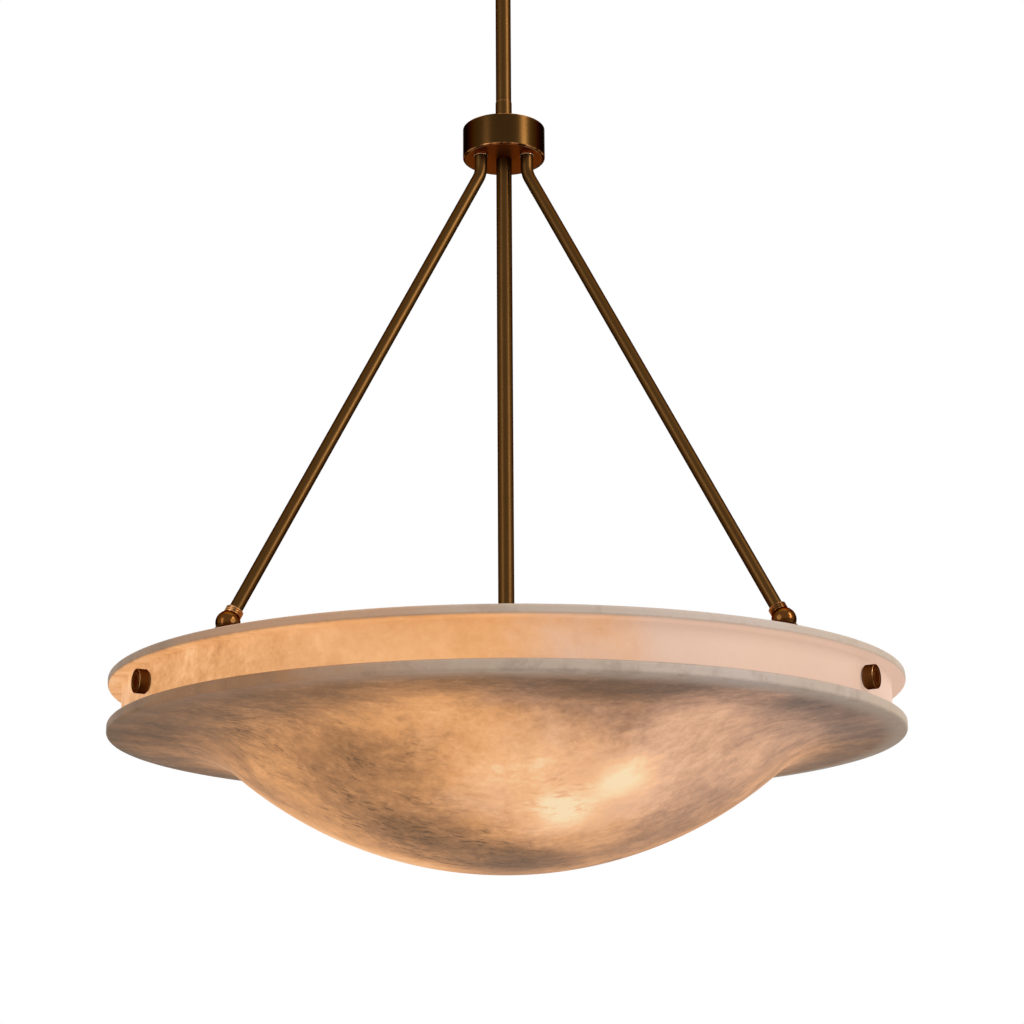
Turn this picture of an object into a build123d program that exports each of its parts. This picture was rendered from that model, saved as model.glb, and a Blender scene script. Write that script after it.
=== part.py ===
from build123d import *
from math import acos, atan2, cos, hypot, radians, sin, sqrt, tan
import os

os.makedirs("parts", exist_ok=True)

# Alabaster bowl pendant, in millimetres. The ceiling is the plane z = 0 and everything hangs below it.
# The crossbar lies along X. Angles are turned about Z from +X, and -Y is the front.

# Clearances that the fits share.
thread_clearance = 0.05
running_clearance = 0.08
seat_gap = 0.3

# Crossbar, the strap that is screwed under the ceiling box.
crossbar_length = 108.0
crossbar_width = 20.0
crossbar_thickness = 2.0
box_screw_spacing = 88.9
box_slot_length = 12.0
box_slot_width = 5.0
ground_screw_radius = 2.0
ground_screw_head_radius = 4.2
ground_screw_head_height = 3.0
ground_screw_offset = 22.0

# Threaded nipples (electrical tube thread) and the cable inside them.
nipple_radius = 5.0
nipple_bore_radius = 3.5
cable_radius = 2.8
nut_height = 5.0
nut_across_corners = 18.0

# Canopy.
canopy_radius = 65.0
canopy_height = 30.0
canopy_wall = 1.2
canopy_corner_radius = 20.0
canopy_flange_width = 6.0
canopy_ring_width = 6.0
canopy_ring_height = 6.0
ring_groove_count = 30
ring_groove_radius = 0.8

# Swivel: a ball between two bearing rings in a socket closed by a screwed cap.
ball_radius = 11.0
ball_drop = 38.0
bearing_thickness = 1.3
bearing_clearance = 0.1
socket_wall = 3.0
socket_cap_height = 8.0
socket_shoulder_height = 5.0
socket_neck_wall = 4.0
socket_neck_height = 8.0
cap_wall = 2.45
cap_flange_overhang = 2.5
cap_flange_height = 2.5
cap_mouth_radius = 10.2
ball_neck_radius = 5.0
ball_neck_drop = 16.0
ball_shoulder_height = 2.0
lower_bearing_from = -34.0
lower_bearing_to = -8.0
upper_bearing_from = 15.0
upper_bearing_to = 55.0

# Stems.
stem_radius = 7.95
stem_wall = 1.5
stem_plug_length = 12.0
upper_stem_length = 305.0
coupler_radius = 8.4
coupler_length = 30.0
coupler_edge = 0.5

# Hub.
hub_radius = 42.1
hub_height = 33.0
hub_wall = 2.5
hub_top_thickness = 3.0
hub_base_thickness = 4.0
hub_base_clearance = 0.1
hub_top_round = 1.0
hub_bottom_chamfer = 1.4
hub_above_rim = 549.0

# Arms.
arm_count = 3
first_arm_angle = 210.0
arm_radius = 6.35
arm_wall = 1.5
arm_root_radius = 27.0
arm_stub_length = 21.0
arm_bend_radius = 30.0
arm_nut_across_corners = 20.0
arm_above_nut = 1.0
arm_collar_width = 0.75
arm_collar_height = 2.0

# Arm feet: a ring collar, a slotted knuckle with its pin, and a bracket down to the stone.
foot_inset = 61.4
foot_above_rim = 34.0
foot_collar_width = 2.2
foot_collar_height = 6.0
foot_groove_depth = 0.8
foot_groove_height = 1.2
knuckle_radius = 11.5
knuckle_flat = 8.5
knuckle_spigot_length = 12.0
bracket_thickness = 4.0
bracket_eye_radius = 5.5
slot_clearance = 0.2
knuckle_pin_radius = 2.0
bracket_pad_radius = 11.0
bracket_pad_thickness = 5.0
stud_radius = 3.0
stud_seat_depth = 4.5
washer_thickness = 2.7
washer_radius = 9.0
stone_hole_clearance = 1.5

# Knobs on the outside of the band.
knob_radius = 11.0
knob_length = 9.5
knob_edge = 0.6
knob_bore_depth = 8.0
knob_washer_thickness = 1.5
knob_washer_radius = 9.5
stud_in_knob = 7.5

# Alabaster bowl: upper lip, recessed band, lower lip with a sloping underside, and a round bowl that
# meets the underside in a hollow curve.
rim_radius = 381.0
band_recess = 13.3
stone_wall = 14.0
upper_lip_height = 9.5
band_height = 35.1
lower_lip_height = 10.5
lip_round = 3.0
band_corner_round = 1.5
bowl_depth = 179.6
underside_width = 99.6
underside_slope = 6.5
underside_curve_radius = 95.0
inner_corner_round = 6.0

# Lamp cluster inside the bowl.
lamp_count = 3
first_lamp_angle = 300.0
lamp_tilt = 10.0
cluster_below_rim = 45.0
cluster_radius = 24.0
cluster_height = 36.0
cluster_wall = 2.0
cluster_top_thickness = 3.0
cluster_cover_thickness = 3.0
cluster_lip_height = 5.0
finial_radius = 8.0
finial_stud_radius = 3.0
socket_start = 28.0
shell_radius = 17.0
shell_wall = 1.0
shell_length = 46.0
shell_back_thickness = 1.5
lamp_nipple_start = 18.0
lamp_nipple_in_core = 6.0
core_back_length = 20.5
core_ring_length = 22.0
contact_shell_wall = 0.65
contact_radius = 3.0
contact_height = 1.5
lamp_base_radius = 13.05
lamp_base_length = 22.6
lamp_tip_radius = 4.5
lamp_tip_height = 1.5
globe_radius = 30.0
globe_length = 84.0
globe_neck_radius = 13.4
globe_neck_length = 5.0
globe_wall = 0.8

# Heights down from the ceiling, worked out from the sizes above.
ball_z = -ball_drop
stem_top_z = ball_z - ball_neck_drop - ball_shoulder_height
coupler_top_z = stem_top_z - upper_stem_length
hub_top_z = coupler_top_z - coupler_length
hub_bottom_z = hub_top_z - hub_height
hub_floor_z = hub_bottom_z + hub_base_thickness
rim_z = hub_bottom_z - hub_above_rim
upper_lip_bottom_z = rim_z - upper_lip_height
lower_lip_top_z = upper_lip_bottom_z - band_height
lower_lip_bottom_z = lower_lip_top_z - lower_lip_height
knob_z = (upper_lip_bottom_z + lower_lip_top_z) / 2
cluster_z = rim_z - cluster_below_rim
cluster_top_z = cluster_z + cluster_height / 2
cluster_bottom_z = cluster_z - cluster_height / 2

# Radii that several pieces share.
stem_bore_radius = stem_radius - stem_wall
stem_plug_radius = stem_bore_radius - thread_clearance
nipple_hole_radius = nipple_radius + thread_clearance
band_radius = rim_radius - band_recess
stone_inner_radius = band_radius - stone_wall

# Swivel radii, from the ball outwards.
bearing_inner_radius = ball_radius + bearing_clearance
bearing_outer_radius = bearing_inner_radius + bearing_thickness
cavity_radius = bearing_outer_radius + bearing_clearance
cap_radius = cavity_radius + cap_wall
cap_bore_radius = cap_radius + thread_clearance
socket_radius = cap_bore_radius + socket_wall
socket_bottom_z = ball_z - socket_cap_height
socket_shoulder_z = ball_z + cavity_radius + socket_shoulder_height
socket_neck_z = socket_shoulder_z + socket_neck_height
socket_neck_radius = nipple_radius + socket_neck_wall
nipple_end_z = socket_shoulder_z

arm_angles = [first_arm_angle + 360.0 / arm_count * i for i in range(arm_count)]
lamp_angles = [first_lamp_angle + 360.0 / lamp_count * i for i in range(lamp_count)]


def side_plane(angle):
    """Plane through the Z axis at this angle: its x runs outwards and its y runs up."""
    turn = radians(angle)
    return Plane(origin=(0, 0, 0), x_dir=(cos(turn), sin(turn), 0), z_dir=(sin(turn), -cos(turn), 0))


def outward_plane(angle, radius):
    """Plane square to the radial direction at knob height, with its normal pointing outwards."""
    side = side_plane(angle)
    return Plane(origin=side.from_local_coords((radius, knob_z)), x_dir=side.z_dir, z_dir=side.x_dir)


def lamp_plane(angle, distance):
    """Plane square to a lamp's axis, at this distance from the cluster's centre."""
    turn = radians(angle)
    dip = radians(lamp_tilt)
    axis = Vector(cos(turn) * cos(dip), sin(turn) * cos(dip), -sin(dip))
    centre = Vector(0, 0, cluster_z) + axis * distance
    return Plane(origin=centre, x_dir=(-sin(turn), cos(turn), 0), z_dir=axis)


def hexagon_nut(base_z, across_corners, hole_radius, height, spots=((0, 0),)):
    """One or more hexagon nuts that stand on the plane z = base_z."""
    with BuildPart() as nut:
        with BuildSketch(Plane.XY.offset(base_z)):
            with Locations(*spots):
                RegularPolygon(across_corners / 2, 6)
                Circle(hole_radius, mode=Mode.SUBTRACT)
        extrude(amount=height)
    return nut.part


# ---------------------------------------------------------------- ceiling fixing

with BuildPart() as crossbar:
    with BuildSketch(Plane.XY.offset(-crossbar_thickness)):
        SlotOverall(crossbar_length, crossbar_width)
        Circle(nipple_hole_radius, mode=Mode.SUBTRACT)
        with GridLocations(box_screw_spacing, 0, 2, 1):
            SlotOverall(box_slot_length, box_slot_width, mode=Mode.SUBTRACT)
        with Locations((ground_screw_offset, 0)):
            Circle(ground_screw_radius + thread_clearance, mode=Mode.SUBTRACT)
    extrude(amount=crossbar_thickness)
crossbar.part.label = "crossbar"
export_step(crossbar.part, "parts/crossbar.step")

with BuildPart() as ground_screw:
    with BuildSketch(Plane.XY.offset(-crossbar_thickness)):
        with Locations((ground_screw_offset, 0)):
            Circle(ground_screw_radius)
    extrude(amount=crossbar_thickness)
    with BuildSketch(Plane.XY.offset(-crossbar_thickness)):
        with Locations((ground_screw_offset, 0)):
            RegularPolygon(ground_screw_head_radius, 6)
    extrude(amount=-ground_screw_head_height)
ground_screw.part.label = "ground_screw"
export_step(ground_screw.part, "parts/ground_screw.step")

with BuildPart() as threaded_nipple:
    with BuildSketch(Plane.XY.offset(nipple_end_z)):
        Circle(nipple_radius)
        Circle(nipple_bore_radius, mode=Mode.SUBTRACT)
    extrude(amount=-nipple_end_z)
threaded_nipple.part.label = "threaded_nipple"
export_step(threaded_nipple.part, "parts/threaded_nipple.step")

nipple_nut_z = -crossbar_thickness - nut_height
nipple_nut = hexagon_nut(nipple_nut_z, nut_across_corners, nipple_hole_radius, nut_height)
nipple_nut.label = "nipple_nut"
export_step(nipple_nut, "parts/nipple_nut.step")

with BuildPart() as feed_cable:
    with BuildSketch(Plane.XY.offset(nipple_end_z)):
        Circle(cable_radius)
    extrude(amount=-nipple_end_z)
feed_cable.part.label = "feed_cable"
export_step(feed_cable.part, "parts/feed_cable.step")

# Canopy: a spun cup with a round shoulder and a flat flange against the ceiling.
with BuildPart() as canopy:
    with BuildSketch(Plane.XY.offset(-canopy_height)):
        Circle(canopy_radius)
    extrude(amount=canopy_height)
    fillet(canopy.edges().sort_by(Axis.Z)[0], canopy_corner_radius)
    offset(amount=-canopy_wall, openings=canopy.faces().sort_by(Axis.Z)[-1])
    with BuildSketch(Plane.XY.offset(-canopy_wall)):
        Circle(canopy_radius)
        Circle(canopy_radius - canopy_flange_width, mode=Mode.SUBTRACT)
    extrude(amount=canopy_wall)
    with BuildSketch(Plane.XY.offset(-canopy_height)):
        Circle(socket_radius + seat_gap)
    extrude(amount=canopy_wall, mode=Mode.SUBTRACT)
canopy.part.label = "canopy"
export_step(canopy.part, "parts/canopy.step")

# Canopy ring: a grooved nut on the swivel socket's thread that holds the canopy up.
with BuildPart() as canopy_ring:
    with BuildSketch(Plane.XY.offset(-canopy_height)):
        Circle(socket_radius + canopy_ring_width)
        Circle(socket_radius + thread_clearance, mode=Mode.SUBTRACT)
        with PolarLocations(socket_radius + canopy_ring_width, ring_groove_count):
            Circle(ring_groove_radius, mode=Mode.SUBTRACT)
    extrude(amount=-canopy_ring_height)
canopy_ring.part.label = "canopy_ring"
export_step(canopy_ring.part, "parts/canopy_ring.step")

# ---------------------------------------------------------------- swivel

with BuildPart() as swivel_socket:
    with BuildSketch(Plane.XY.offset(socket_bottom_z)):
        Circle(socket_radius)
    extrude(amount=socket_shoulder_z - socket_bottom_z)
    with BuildSketch(Plane.XY.offset(socket_shoulder_z)):
        Circle(socket_neck_radius)
    extrude(amount=socket_neck_height)
    with Locations((0, 0, ball_z)):
        Sphere(cavity_radius, mode=Mode.SUBTRACT)
    with BuildSketch(Plane.XY.offset(socket_bottom_z)):
        Circle(cap_bore_radius)
    extrude(amount=socket_cap_height, mode=Mode.SUBTRACT)
    with BuildSketch(Plane.XY.offset(ball_z)):
        Circle(nipple_bore_radius)
    extrude(amount=socket_neck_z - ball_z, mode=Mode.SUBTRACT)
    with BuildSketch(Plane.XY.offset(nipple_end_z)):
        Circle(nipple_hole_radius)
    extrude(amount=socket_neck_height, mode=Mode.SUBTRACT)
swivel_socket.part.label = "swivel_socket"
export_step(swivel_socket.part, "parts/swivel_socket.step")

with BuildPart() as swivel_cap:
    with BuildSketch(Plane.XY.offset(socket_bottom_z)):
        Circle(cap_radius)
    extrude(amount=socket_cap_height)
    with BuildSketch(Plane.XY.offset(socket_bottom_z)):
        Circle(cap_radius + cap_flange_overhang)
    extrude(amount=-cap_flange_height)
    with Locations((0, 0, ball_z)):
        Sphere(cavity_radius, mode=Mode.SUBTRACT)
    with BuildSketch(Plane.XY.offset(socket_bottom_z - cap_flange_height)):
        Circle(cap_mouth_radius)
    extrude(amount=socket_cap_height, mode=Mode.SUBTRACT)
swivel_cap.part.label = "swivel_cap"
export_step(swivel_cap.part, "parts/swivel_cap.step")


def ball_bearing(from_angle, to_angle):
    """A ring cut from a round shell about the ball, between two angles above or below its middle."""
    with BuildPart() as bearing:
        with BuildSketch(Plane.XZ):
            with BuildLine():
                outer = CenterArc((0, ball_z), bearing_outer_radius, from_angle, to_angle - from_angle)
                inner = CenterArc((0, ball_z), bearing_inner_radius, from_angle, to_angle - from_angle)
                Line(outer @ 0, inner @ 0)
                Line(outer @ 1, inner @ 1)
            make_face()
        revolve(axis=Axis.Z)
    return bearing.part


swivel_lower_bearing = ball_bearing(lower_bearing_from, lower_bearing_to)
swivel_lower_bearing.label = "swivel_lower_bearing"
export_step(swivel_lower_bearing, "parts/swivel_lower_bearing.step")

swivel_upper_bearing = ball_bearing(upper_bearing_from, upper_bearing_to)
swivel_upper_bearing.label = "swivel_upper_bearing"
export_step(swivel_upper_bearing, "parts/swivel_upper_bearing.step")

# Ball with its neck, a shoulder on the stem's end and a threaded plug inside the stem.
with BuildPart() as swivel_ball:
    with Locations((0, 0, ball_z)):
        Sphere(ball_radius)
    with BuildSketch(Plane.XY.offset(ball_z - ball_neck_drop)):
        Circle(ball_neck_radius)
    extrude(amount=ball_neck_drop)
    with BuildSketch(Plane.XY.offset(stem_top_z)):
        Circle(stem_radius)
    extrude(amount=ball_shoulder_height)
    with BuildSketch(Plane.XY.offset(stem_top_z)):
        Circle(stem_plug_radius)
    extrude(amount=-stem_plug_length)
    with BuildSketch(Plane.XY.offset(ball_z + ball_radius)):
        Circle(nipple_bore_radius)
    extrude(amount=stem_top_z - stem_plug_length - ball_z - ball_radius, mode=Mode.SUBTRACT)
swivel_ball.part.label = "swivel_ball"
export_step(swivel_ball.part, "parts/swivel_ball.step")

# ---------------------------------------------------------------- stem and hub

with BuildPart() as upper_stem:
    with BuildSketch(Plane.XY.offset(coupler_top_z)):
        Circle(stem_radius)
        Circle(stem_bore_radius, mode=Mode.SUBTRACT)
    extrude(amount=upper_stem_length)
upper_stem.part.label = "upper_stem"
export_step(upper_stem.part, "parts/upper_stem.step")

with BuildPart() as stem_coupler:
    with BuildSketch(Plane.XY.offset(hub_top_z)):
        Circle(coupler_radius)
    extrude(amount=coupler_length)
    chamfer(stem_coupler.edges().sort_by(Axis.Z)[-1], coupler_edge)
    with BuildSketch(Plane.XY.offset(coupler_top_z)):
        Circle(stem_plug_radius)
    extrude(amount=stem_plug_length)
    with BuildSketch(Plane.XY.offset(hub_top_z)):
        Circle(nipple_bore_radius)
    extrude(amount=coupler_length + stem_plug_length, mode=Mode.SUBTRACT)
    with BuildSketch(Plane.XY.offset(hub_top_z)):
        Circle(nipple_hole_radius)
    extrude(amount=stem_plug_length, mode=Mode.SUBTRACT)
stem_coupler.part.label = "stem_coupler"
export_step(stem_coupler.part, "parts/stem_coupler.step")

with BuildPart() as hub_shell:
    with BuildSketch(Plane.XY.offset(hub_bottom_z)):
        Circle(hub_radius)
    extrude(amount=hub_height)
    fillet(hub_shell.edges().sort_by(Axis.Z)[-1], hub_top_round)
    chamfer(hub_shell.edges().sort_by(Axis.Z)[0], hub_bottom_chamfer)
    with BuildSketch(Plane.XY.offset(hub_bottom_z)):
        Circle(hub_radius - hub_wall)
    extrude(amount=hub_height - hub_top_thickness, mode=Mode.SUBTRACT)
    with BuildSketch(Plane.XY.offset(hub_bottom_z)):
        Circle(nipple_hole_radius)
    extrude(amount=hub_height, mode=Mode.SUBTRACT)
hub_shell.part.label = "hub_shell"
export_step(hub_shell.part, "parts/hub_shell.step")

with BuildPart() as hub_base:
    with BuildSketch(Plane.XY.offset(hub_bottom_z)):
        Circle(hub_radius - hub_wall - hub_base_clearance)
        Circle(nipple_hole_radius, mode=Mode.SUBTRACT)
        with PolarLocations(arm_root_radius, arm_count, start_angle=first_arm_angle):
            Circle(arm_radius + thread_clearance, mode=Mode.SUBTRACT)
    extrude(amount=hub_base_thickness)
hub_base.part.label = "hub_base"
export_step(hub_base.part, "parts/hub_base.step")

with BuildPart() as hub_nipple:
    with BuildSketch(Plane.XY.offset(hub_bottom_z - stem_plug_length)):
        Circle(nipple_radius)
        Circle(nipple_bore_radius, mode=Mode.SUBTRACT)
    extrude(amount=hub_height + 2 * stem_plug_length)
hub_nipple.part.label = "hub_nipple"
export_step(hub_nipple.part, "parts/hub_nipple.step")

# Two nuts on the hub's nipple: one under the shell's top and one on the base plate.
with BuildPart() as hub_nuts:
    for base_z in (hub_floor_z, hub_top_z - hub_top_thickness - nut_height):
        with BuildSketch(Plane.XY.offset(base_z)):
            RegularPolygon(nut_across_corners / 2, 6)
            Circle(nipple_hole_radius, mode=Mode.SUBTRACT)
        extrude(amount=nut_height)
hub_nuts.part.label = "hub_nuts"
export_step(hub_nuts.part, "parts/hub_nuts.step")

# ---------------------------------------------------------------- arms and their feet

arm_top_z = hub_floor_z + nut_height + arm_above_nut
arm_corner_z = hub_bottom_z - arm_stub_length
foot_radius = stone_inner_radius - foot_inset
foot_z = rim_z + foot_above_rim
arm_direction = Vector(foot_radius - arm_root_radius, foot_z - arm_corner_z).normalized()
arm_end = Vector(foot_radius, foot_z) - arm_direction * knuckle_flat
arm_spots = [(arm_root_radius * cos(radians(a)), arm_root_radius * sin(radians(a))) for a in arm_angles]
pad_outer_radius = stone_inner_radius - seat_gap - washer_thickness
pad_inner_radius = pad_outer_radius - bracket_pad_thickness
stud_start_radius = pad_outer_radius - stud_seat_depth
knob_washer_start = band_radius + seat_gap
knob_start = knob_washer_start + knob_washer_thickness


def foot_plane(angle):
    """Plane through a knuckle's centre, with its normal pointing back up the arm."""
    side = side_plane(angle)
    up_arm = side.x_dir * -arm_direction.X + side.y_dir * -arm_direction.Y
    return Plane(origin=side.from_local_coords((foot_radius, foot_z)), x_dir=side.z_dir, z_dir=up_arm)


arm_hole_radius = arm_radius + thread_clearance
arm_nuts = hexagon_nut(hub_floor_z, arm_nut_across_corners, arm_hole_radius, nut_height, arm_spots)
arm_nuts.label = "arm_nuts"
export_step(arm_nuts, "parts/arm_nuts.step")

for number, angle in enumerate(arm_angles, start=1):
    side = side_plane(angle)

    with BuildPart() as arm:
        with BuildLine(side) as route:
            FilletPolyline(
                (arm_root_radius, arm_top_z),
                (arm_root_radius, arm_corner_z),
                (arm_end.X, arm_end.Y),
                radius=arm_bend_radius,
            )
        with BuildSketch(Plane(origin=route.line @ 0, z_dir=route.line % 0)):
            Circle(arm_radius)
            Circle(arm_radius - arm_wall, mode=Mode.SUBTRACT)
        sweep()
    arm.part.label = f"arm_{number}"
    export_step(arm.part, f"parts/arm_{number}.step")

    with BuildPart() as arm_collar:
        with BuildSketch(Plane.XY.offset(hub_bottom_z)):
            with Locations(arm_spots[number - 1]):
                Circle(arm_radius + arm_collar_width)
                Circle(arm_radius + thread_clearance, mode=Mode.SUBTRACT)
        extrude(amount=-arm_collar_height)
    arm_collar.part.label = f"arm_collar_{number}"
    export_step(arm_collar.part, f"parts/arm_collar_{number}.step")

    # Knuckle: a ball with a flat for the arm, a spigot inside the arm, and a slot for the bracket's eye.
    with BuildPart() as knuckle:
        with Locations(foot_plane(angle)):
            Sphere(knuckle_radius)
        split(bisect_by=foot_plane(angle).offset(knuckle_flat), keep=Keep.BOTTOM)
        with BuildSketch(foot_plane(angle).offset(knuckle_flat)):
            Circle(arm_radius - arm_wall - thread_clearance)
        extrude(amount=knuckle_spigot_length)
        with BuildSketch(foot_plane(angle).offset(bracket_eye_radius + 2 * slot_clearance)):
            Rectangle(bracket_thickness + 2 * slot_clearance, 4 * knuckle_radius)
        extrude(amount=-3 * knuckle_radius, mode=Mode.SUBTRACT)
        with BuildSketch(side.offset(-knuckle_radius)):
            with Locations((foot_radius, foot_z)):
                Circle(knuckle_pin_radius + thread_clearance)
        extrude(amount=2 * knuckle_radius, mode=Mode.SUBTRACT)
    knuckle.part.label = f"knuckle_{number}"
    export_step(knuckle.part, f"parts/knuckle_{number}.step")

    # Bracket: a flat bar from the knuckle out and down to a round pad that faces the stone.
    with BuildPart() as bracket:
        eye = Vector(foot_radius, foot_z)
        heel = Vector(pad_inner_radius, knob_z)
        with BuildSketch(side.offset(-bracket_thickness / 2)):
            SlotCenterPoint((eye + heel) / 2, heel, 2 * bracket_eye_radius)
        extrude(amount=bracket_thickness)
        with BuildSketch(outward_plane(angle, pad_inner_radius)):
            Circle(bracket_pad_radius)
        extrude(amount=bracket_pad_thickness)
        with BuildSketch(outward_plane(angle, pad_outer_radius)):
            Circle(bracket_pad_radius)
        extrude(amount=bracket_pad_thickness, mode=Mode.SUBTRACT)
        with BuildSketch(outward_plane(angle, stud_start_radius)):
            Circle(stud_radius + thread_clearance)
        extrude(amount=bracket_pad_thickness, mode=Mode.SUBTRACT)
        with BuildSketch(side.offset(-bracket_thickness)):
            with Locations(eye):
                Circle(knuckle_pin_radius + thread_clearance)
        extrude(amount=2 * bracket_thickness, mode=Mode.SUBTRACT)
    bracket.part.label = f"bracket_{number}"
    export_step(bracket.part, f"parts/bracket_{number}.step")

    with BuildPart() as knob_washer:
        with BuildSketch(outward_plane(angle, knob_washer_start)):
            Circle(knob_washer_radius)
            Circle(stud_radius + running_clearance, mode=Mode.SUBTRACT)
        extrude(amount=knob_washer_thickness)
    knob_washer.part.label = f"knob_washer_{number}"
    export_step(knob_washer.part, f"parts/knob_washer_{number}.step")

    # Knob: a plain turned cap nut on the stud.
    with BuildPart() as knob:
        with BuildSketch(outward_plane(angle, knob_start)):
            Circle(knob_radius)
        extrude(amount=knob_length)
        chamfer(knob.edges().filter_by(GeomType.CIRCLE), knob_edge)
        with BuildSketch(outward_plane(angle, knob_start)):
            Circle(stud_radius + running_clearance)
        extrude(amount=knob_bore_depth, mode=Mode.SUBTRACT)
    knob.part.label = f"knob_{number}"
    export_step(knob.part, f"parts/knob_{number}.step")

with BuildPart() as foot_collars:
    for angle in arm_angles:
        collar_end = foot_plane(angle).offset(knuckle_flat)
        with BuildSketch(collar_end):
            Circle(arm_radius + foot_collar_width)
            Circle(arm_radius + thread_clearance, mode=Mode.SUBTRACT)
        extrude(amount=foot_collar_height)
        with BuildSketch(collar_end.offset((foot_collar_height - foot_groove_height) / 2)):
            Circle(arm_radius + 2 * foot_collar_width)
            Circle(arm_radius + foot_collar_width - foot_groove_depth, mode=Mode.SUBTRACT)
        extrude(amount=foot_groove_height, mode=Mode.SUBTRACT)
foot_collars.part.label = "foot_collars"
export_step(foot_collars.part, "parts/foot_collars.step")

with BuildPart() as knuckle_pins:
    pin_half_length = sqrt(knuckle_radius**2 - knuckle_pin_radius**2)
    for angle in arm_angles:
        with BuildSketch(side_plane(angle).offset(-pin_half_length)):
            with Locations((foot_radius, foot_z)):
                Circle(knuckle_pin_radius)
        extrude(amount=2 * pin_half_length)
knuckle_pins.part.label = "knuckle_pins"
export_step(knuckle_pins.part, "parts/knuckle_pins.step")

with BuildPart() as clamp_studs:
    for angle in arm_angles:
        with BuildSketch(outward_plane(angle, stud_start_radius)):
            Circle(stud_radius)
        extrude(amount=knob_start + stud_in_knob - stud_start_radius)
clamp_studs.part.label = "clamp_studs"
export_step(clamp_studs.part, "parts/clamp_studs.step")

with BuildPart() as bracket_washers:
    for angle in arm_angles:
        with BuildSketch(outward_plane(angle, pad_outer_radius)):
            Circle(washer_radius)
            Circle(stud_radius + thread_clearance, mode=Mode.SUBTRACT)
        extrude(amount=washer_thickness)
bracket_washers.part.label = "bracket_washers"
export_step(bracket_washers.part, "parts/bracket_washers.step")

# ---------------------------------------------------------------- alabaster bowl


def slope_meets_sphere(edge_radius, edge_z, sphere_radius, centre_z):
    """Radius and height where a face that slopes inwards like the lip's underside meets a sphere."""
    rise = tan(radians(underside_slope))
    start = edge_z - edge_radius * rise - centre_z
    scale = 1 + rise**2
    radius = (-start * rise + sqrt((start * rise) ** 2 - scale * (start**2 - sphere_radius**2))) / scale
    return radius, centre_z + start + rise * radius


underside_drop = underside_width * tan(radians(underside_slope))
outer_meet = (rim_radius - underside_width, lower_lip_bottom_z - underside_drop)
bowl_bottom_z = rim_z - bowl_depth
bowl_cap_height = outer_meet[1] - bowl_bottom_z
bowl_sphere_radius = (outer_meet[0] ** 2 + bowl_cap_height**2) / (2 * bowl_cap_height)
bowl_centre_z = bowl_bottom_z + bowl_sphere_radius
inner_sphere_radius = bowl_sphere_radius - stone_wall
floor_rise = stone_wall / cos(radians(underside_slope))
floor_z = lower_lip_bottom_z - band_recess * tan(radians(underside_slope)) + floor_rise
floor_corner_z = floor_z - stone_wall * tan(radians(underside_slope))
inner_meet = slope_meets_sphere(stone_inner_radius, floor_corner_z, inner_sphere_radius, bowl_centre_z)

with BuildPart() as alabaster_bowl:
    with BuildSketch(Plane.XZ) as bowl_outline:
        with BuildLine():
            RadiusArc((0, bowl_bottom_z), outer_meet, -bowl_sphere_radius)
            Polyline(
                outer_meet,
                (rim_radius, lower_lip_bottom_z),
                (rim_radius, lower_lip_top_z),
                (band_radius, lower_lip_top_z),
                (band_radius, upper_lip_bottom_z),
                (rim_radius, upper_lip_bottom_z),
                (rim_radius, rim_z),
                (stone_inner_radius, rim_z),
                (stone_inner_radius, floor_corner_z),
                inner_meet,
            )
            RadiusArc(inner_meet, (0, bowl_bottom_z + stone_wall), inner_sphere_radius)
            Line((0, bowl_bottom_z + stone_wall), (0, bowl_bottom_z))
        make_face()
        lip_corners = bowl_outline.vertices().filter_by_position(Axis.X, rim_radius, rim_radius)
        fillet(lip_corners, lip_round)
        band_corners = bowl_outline.vertices().sort_by_distance((band_radius, knob_z))[:2]
        fillet(band_corners, band_corner_round)
        fillet(bowl_outline.vertices().sort_by_distance((stone_inner_radius, rim_z))[0], lip_round)
        fillet(
            bowl_outline.vertices().sort_by_distance((stone_inner_radius, floor_corner_z))[0],
            inner_corner_round,
        )
        fillet(bowl_outline.vertices().sort_by_distance(outer_meet)[0], underside_curve_radius)
        fillet(
            bowl_outline.vertices().sort_by_distance(inner_meet)[0],
            underside_curve_radius + stone_wall,
        )
    revolve(axis=Axis.Z)
    for angle in arm_angles:
        with BuildSketch(outward_plane(angle, stone_inner_radius - stone_wall)):
            Circle(stud_radius + stone_hole_clearance)
        extrude(amount=3 * stone_wall, mode=Mode.SUBTRACT)
alabaster_bowl.part.label = "alabaster_bowl"
export_step(alabaster_bowl.part, "parts/alabaster_bowl.step")

# ---------------------------------------------------------------- lamp stem and cluster

with BuildPart() as lamp_stem:
    with BuildSketch(Plane.XY.offset(cluster_top_z)):
        Circle(stem_radius)
        Circle(nipple_hole_radius, mode=Mode.SUBTRACT)
    extrude(amount=hub_bottom_z - cluster_top_z)
    with BuildSketch(Plane.XY.offset(cluster_top_z)):
        Circle(stem_bore_radius)
    extrude(amount=hub_bottom_z - stem_plug_length - cluster_top_z, mode=Mode.SUBTRACT)
lamp_stem.part.label = "lamp_stem"
export_step(lamp_stem.part, "parts/lamp_stem.step")

cable_top_z = ball_z + ball_radius / 2
cable_bottom_z = cluster_top_z - cluster_top_thickness - cluster_wall

with BuildPart() as lamp_cable:
    with BuildSketch(Plane.XY.offset(cable_bottom_z)):
        Circle(cable_radius)
    extrude(amount=cable_top_z - cable_bottom_z)
lamp_cable.part.label = "lamp_cable"
export_step(lamp_cable.part, "parts/lamp_cable.step")

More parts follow.
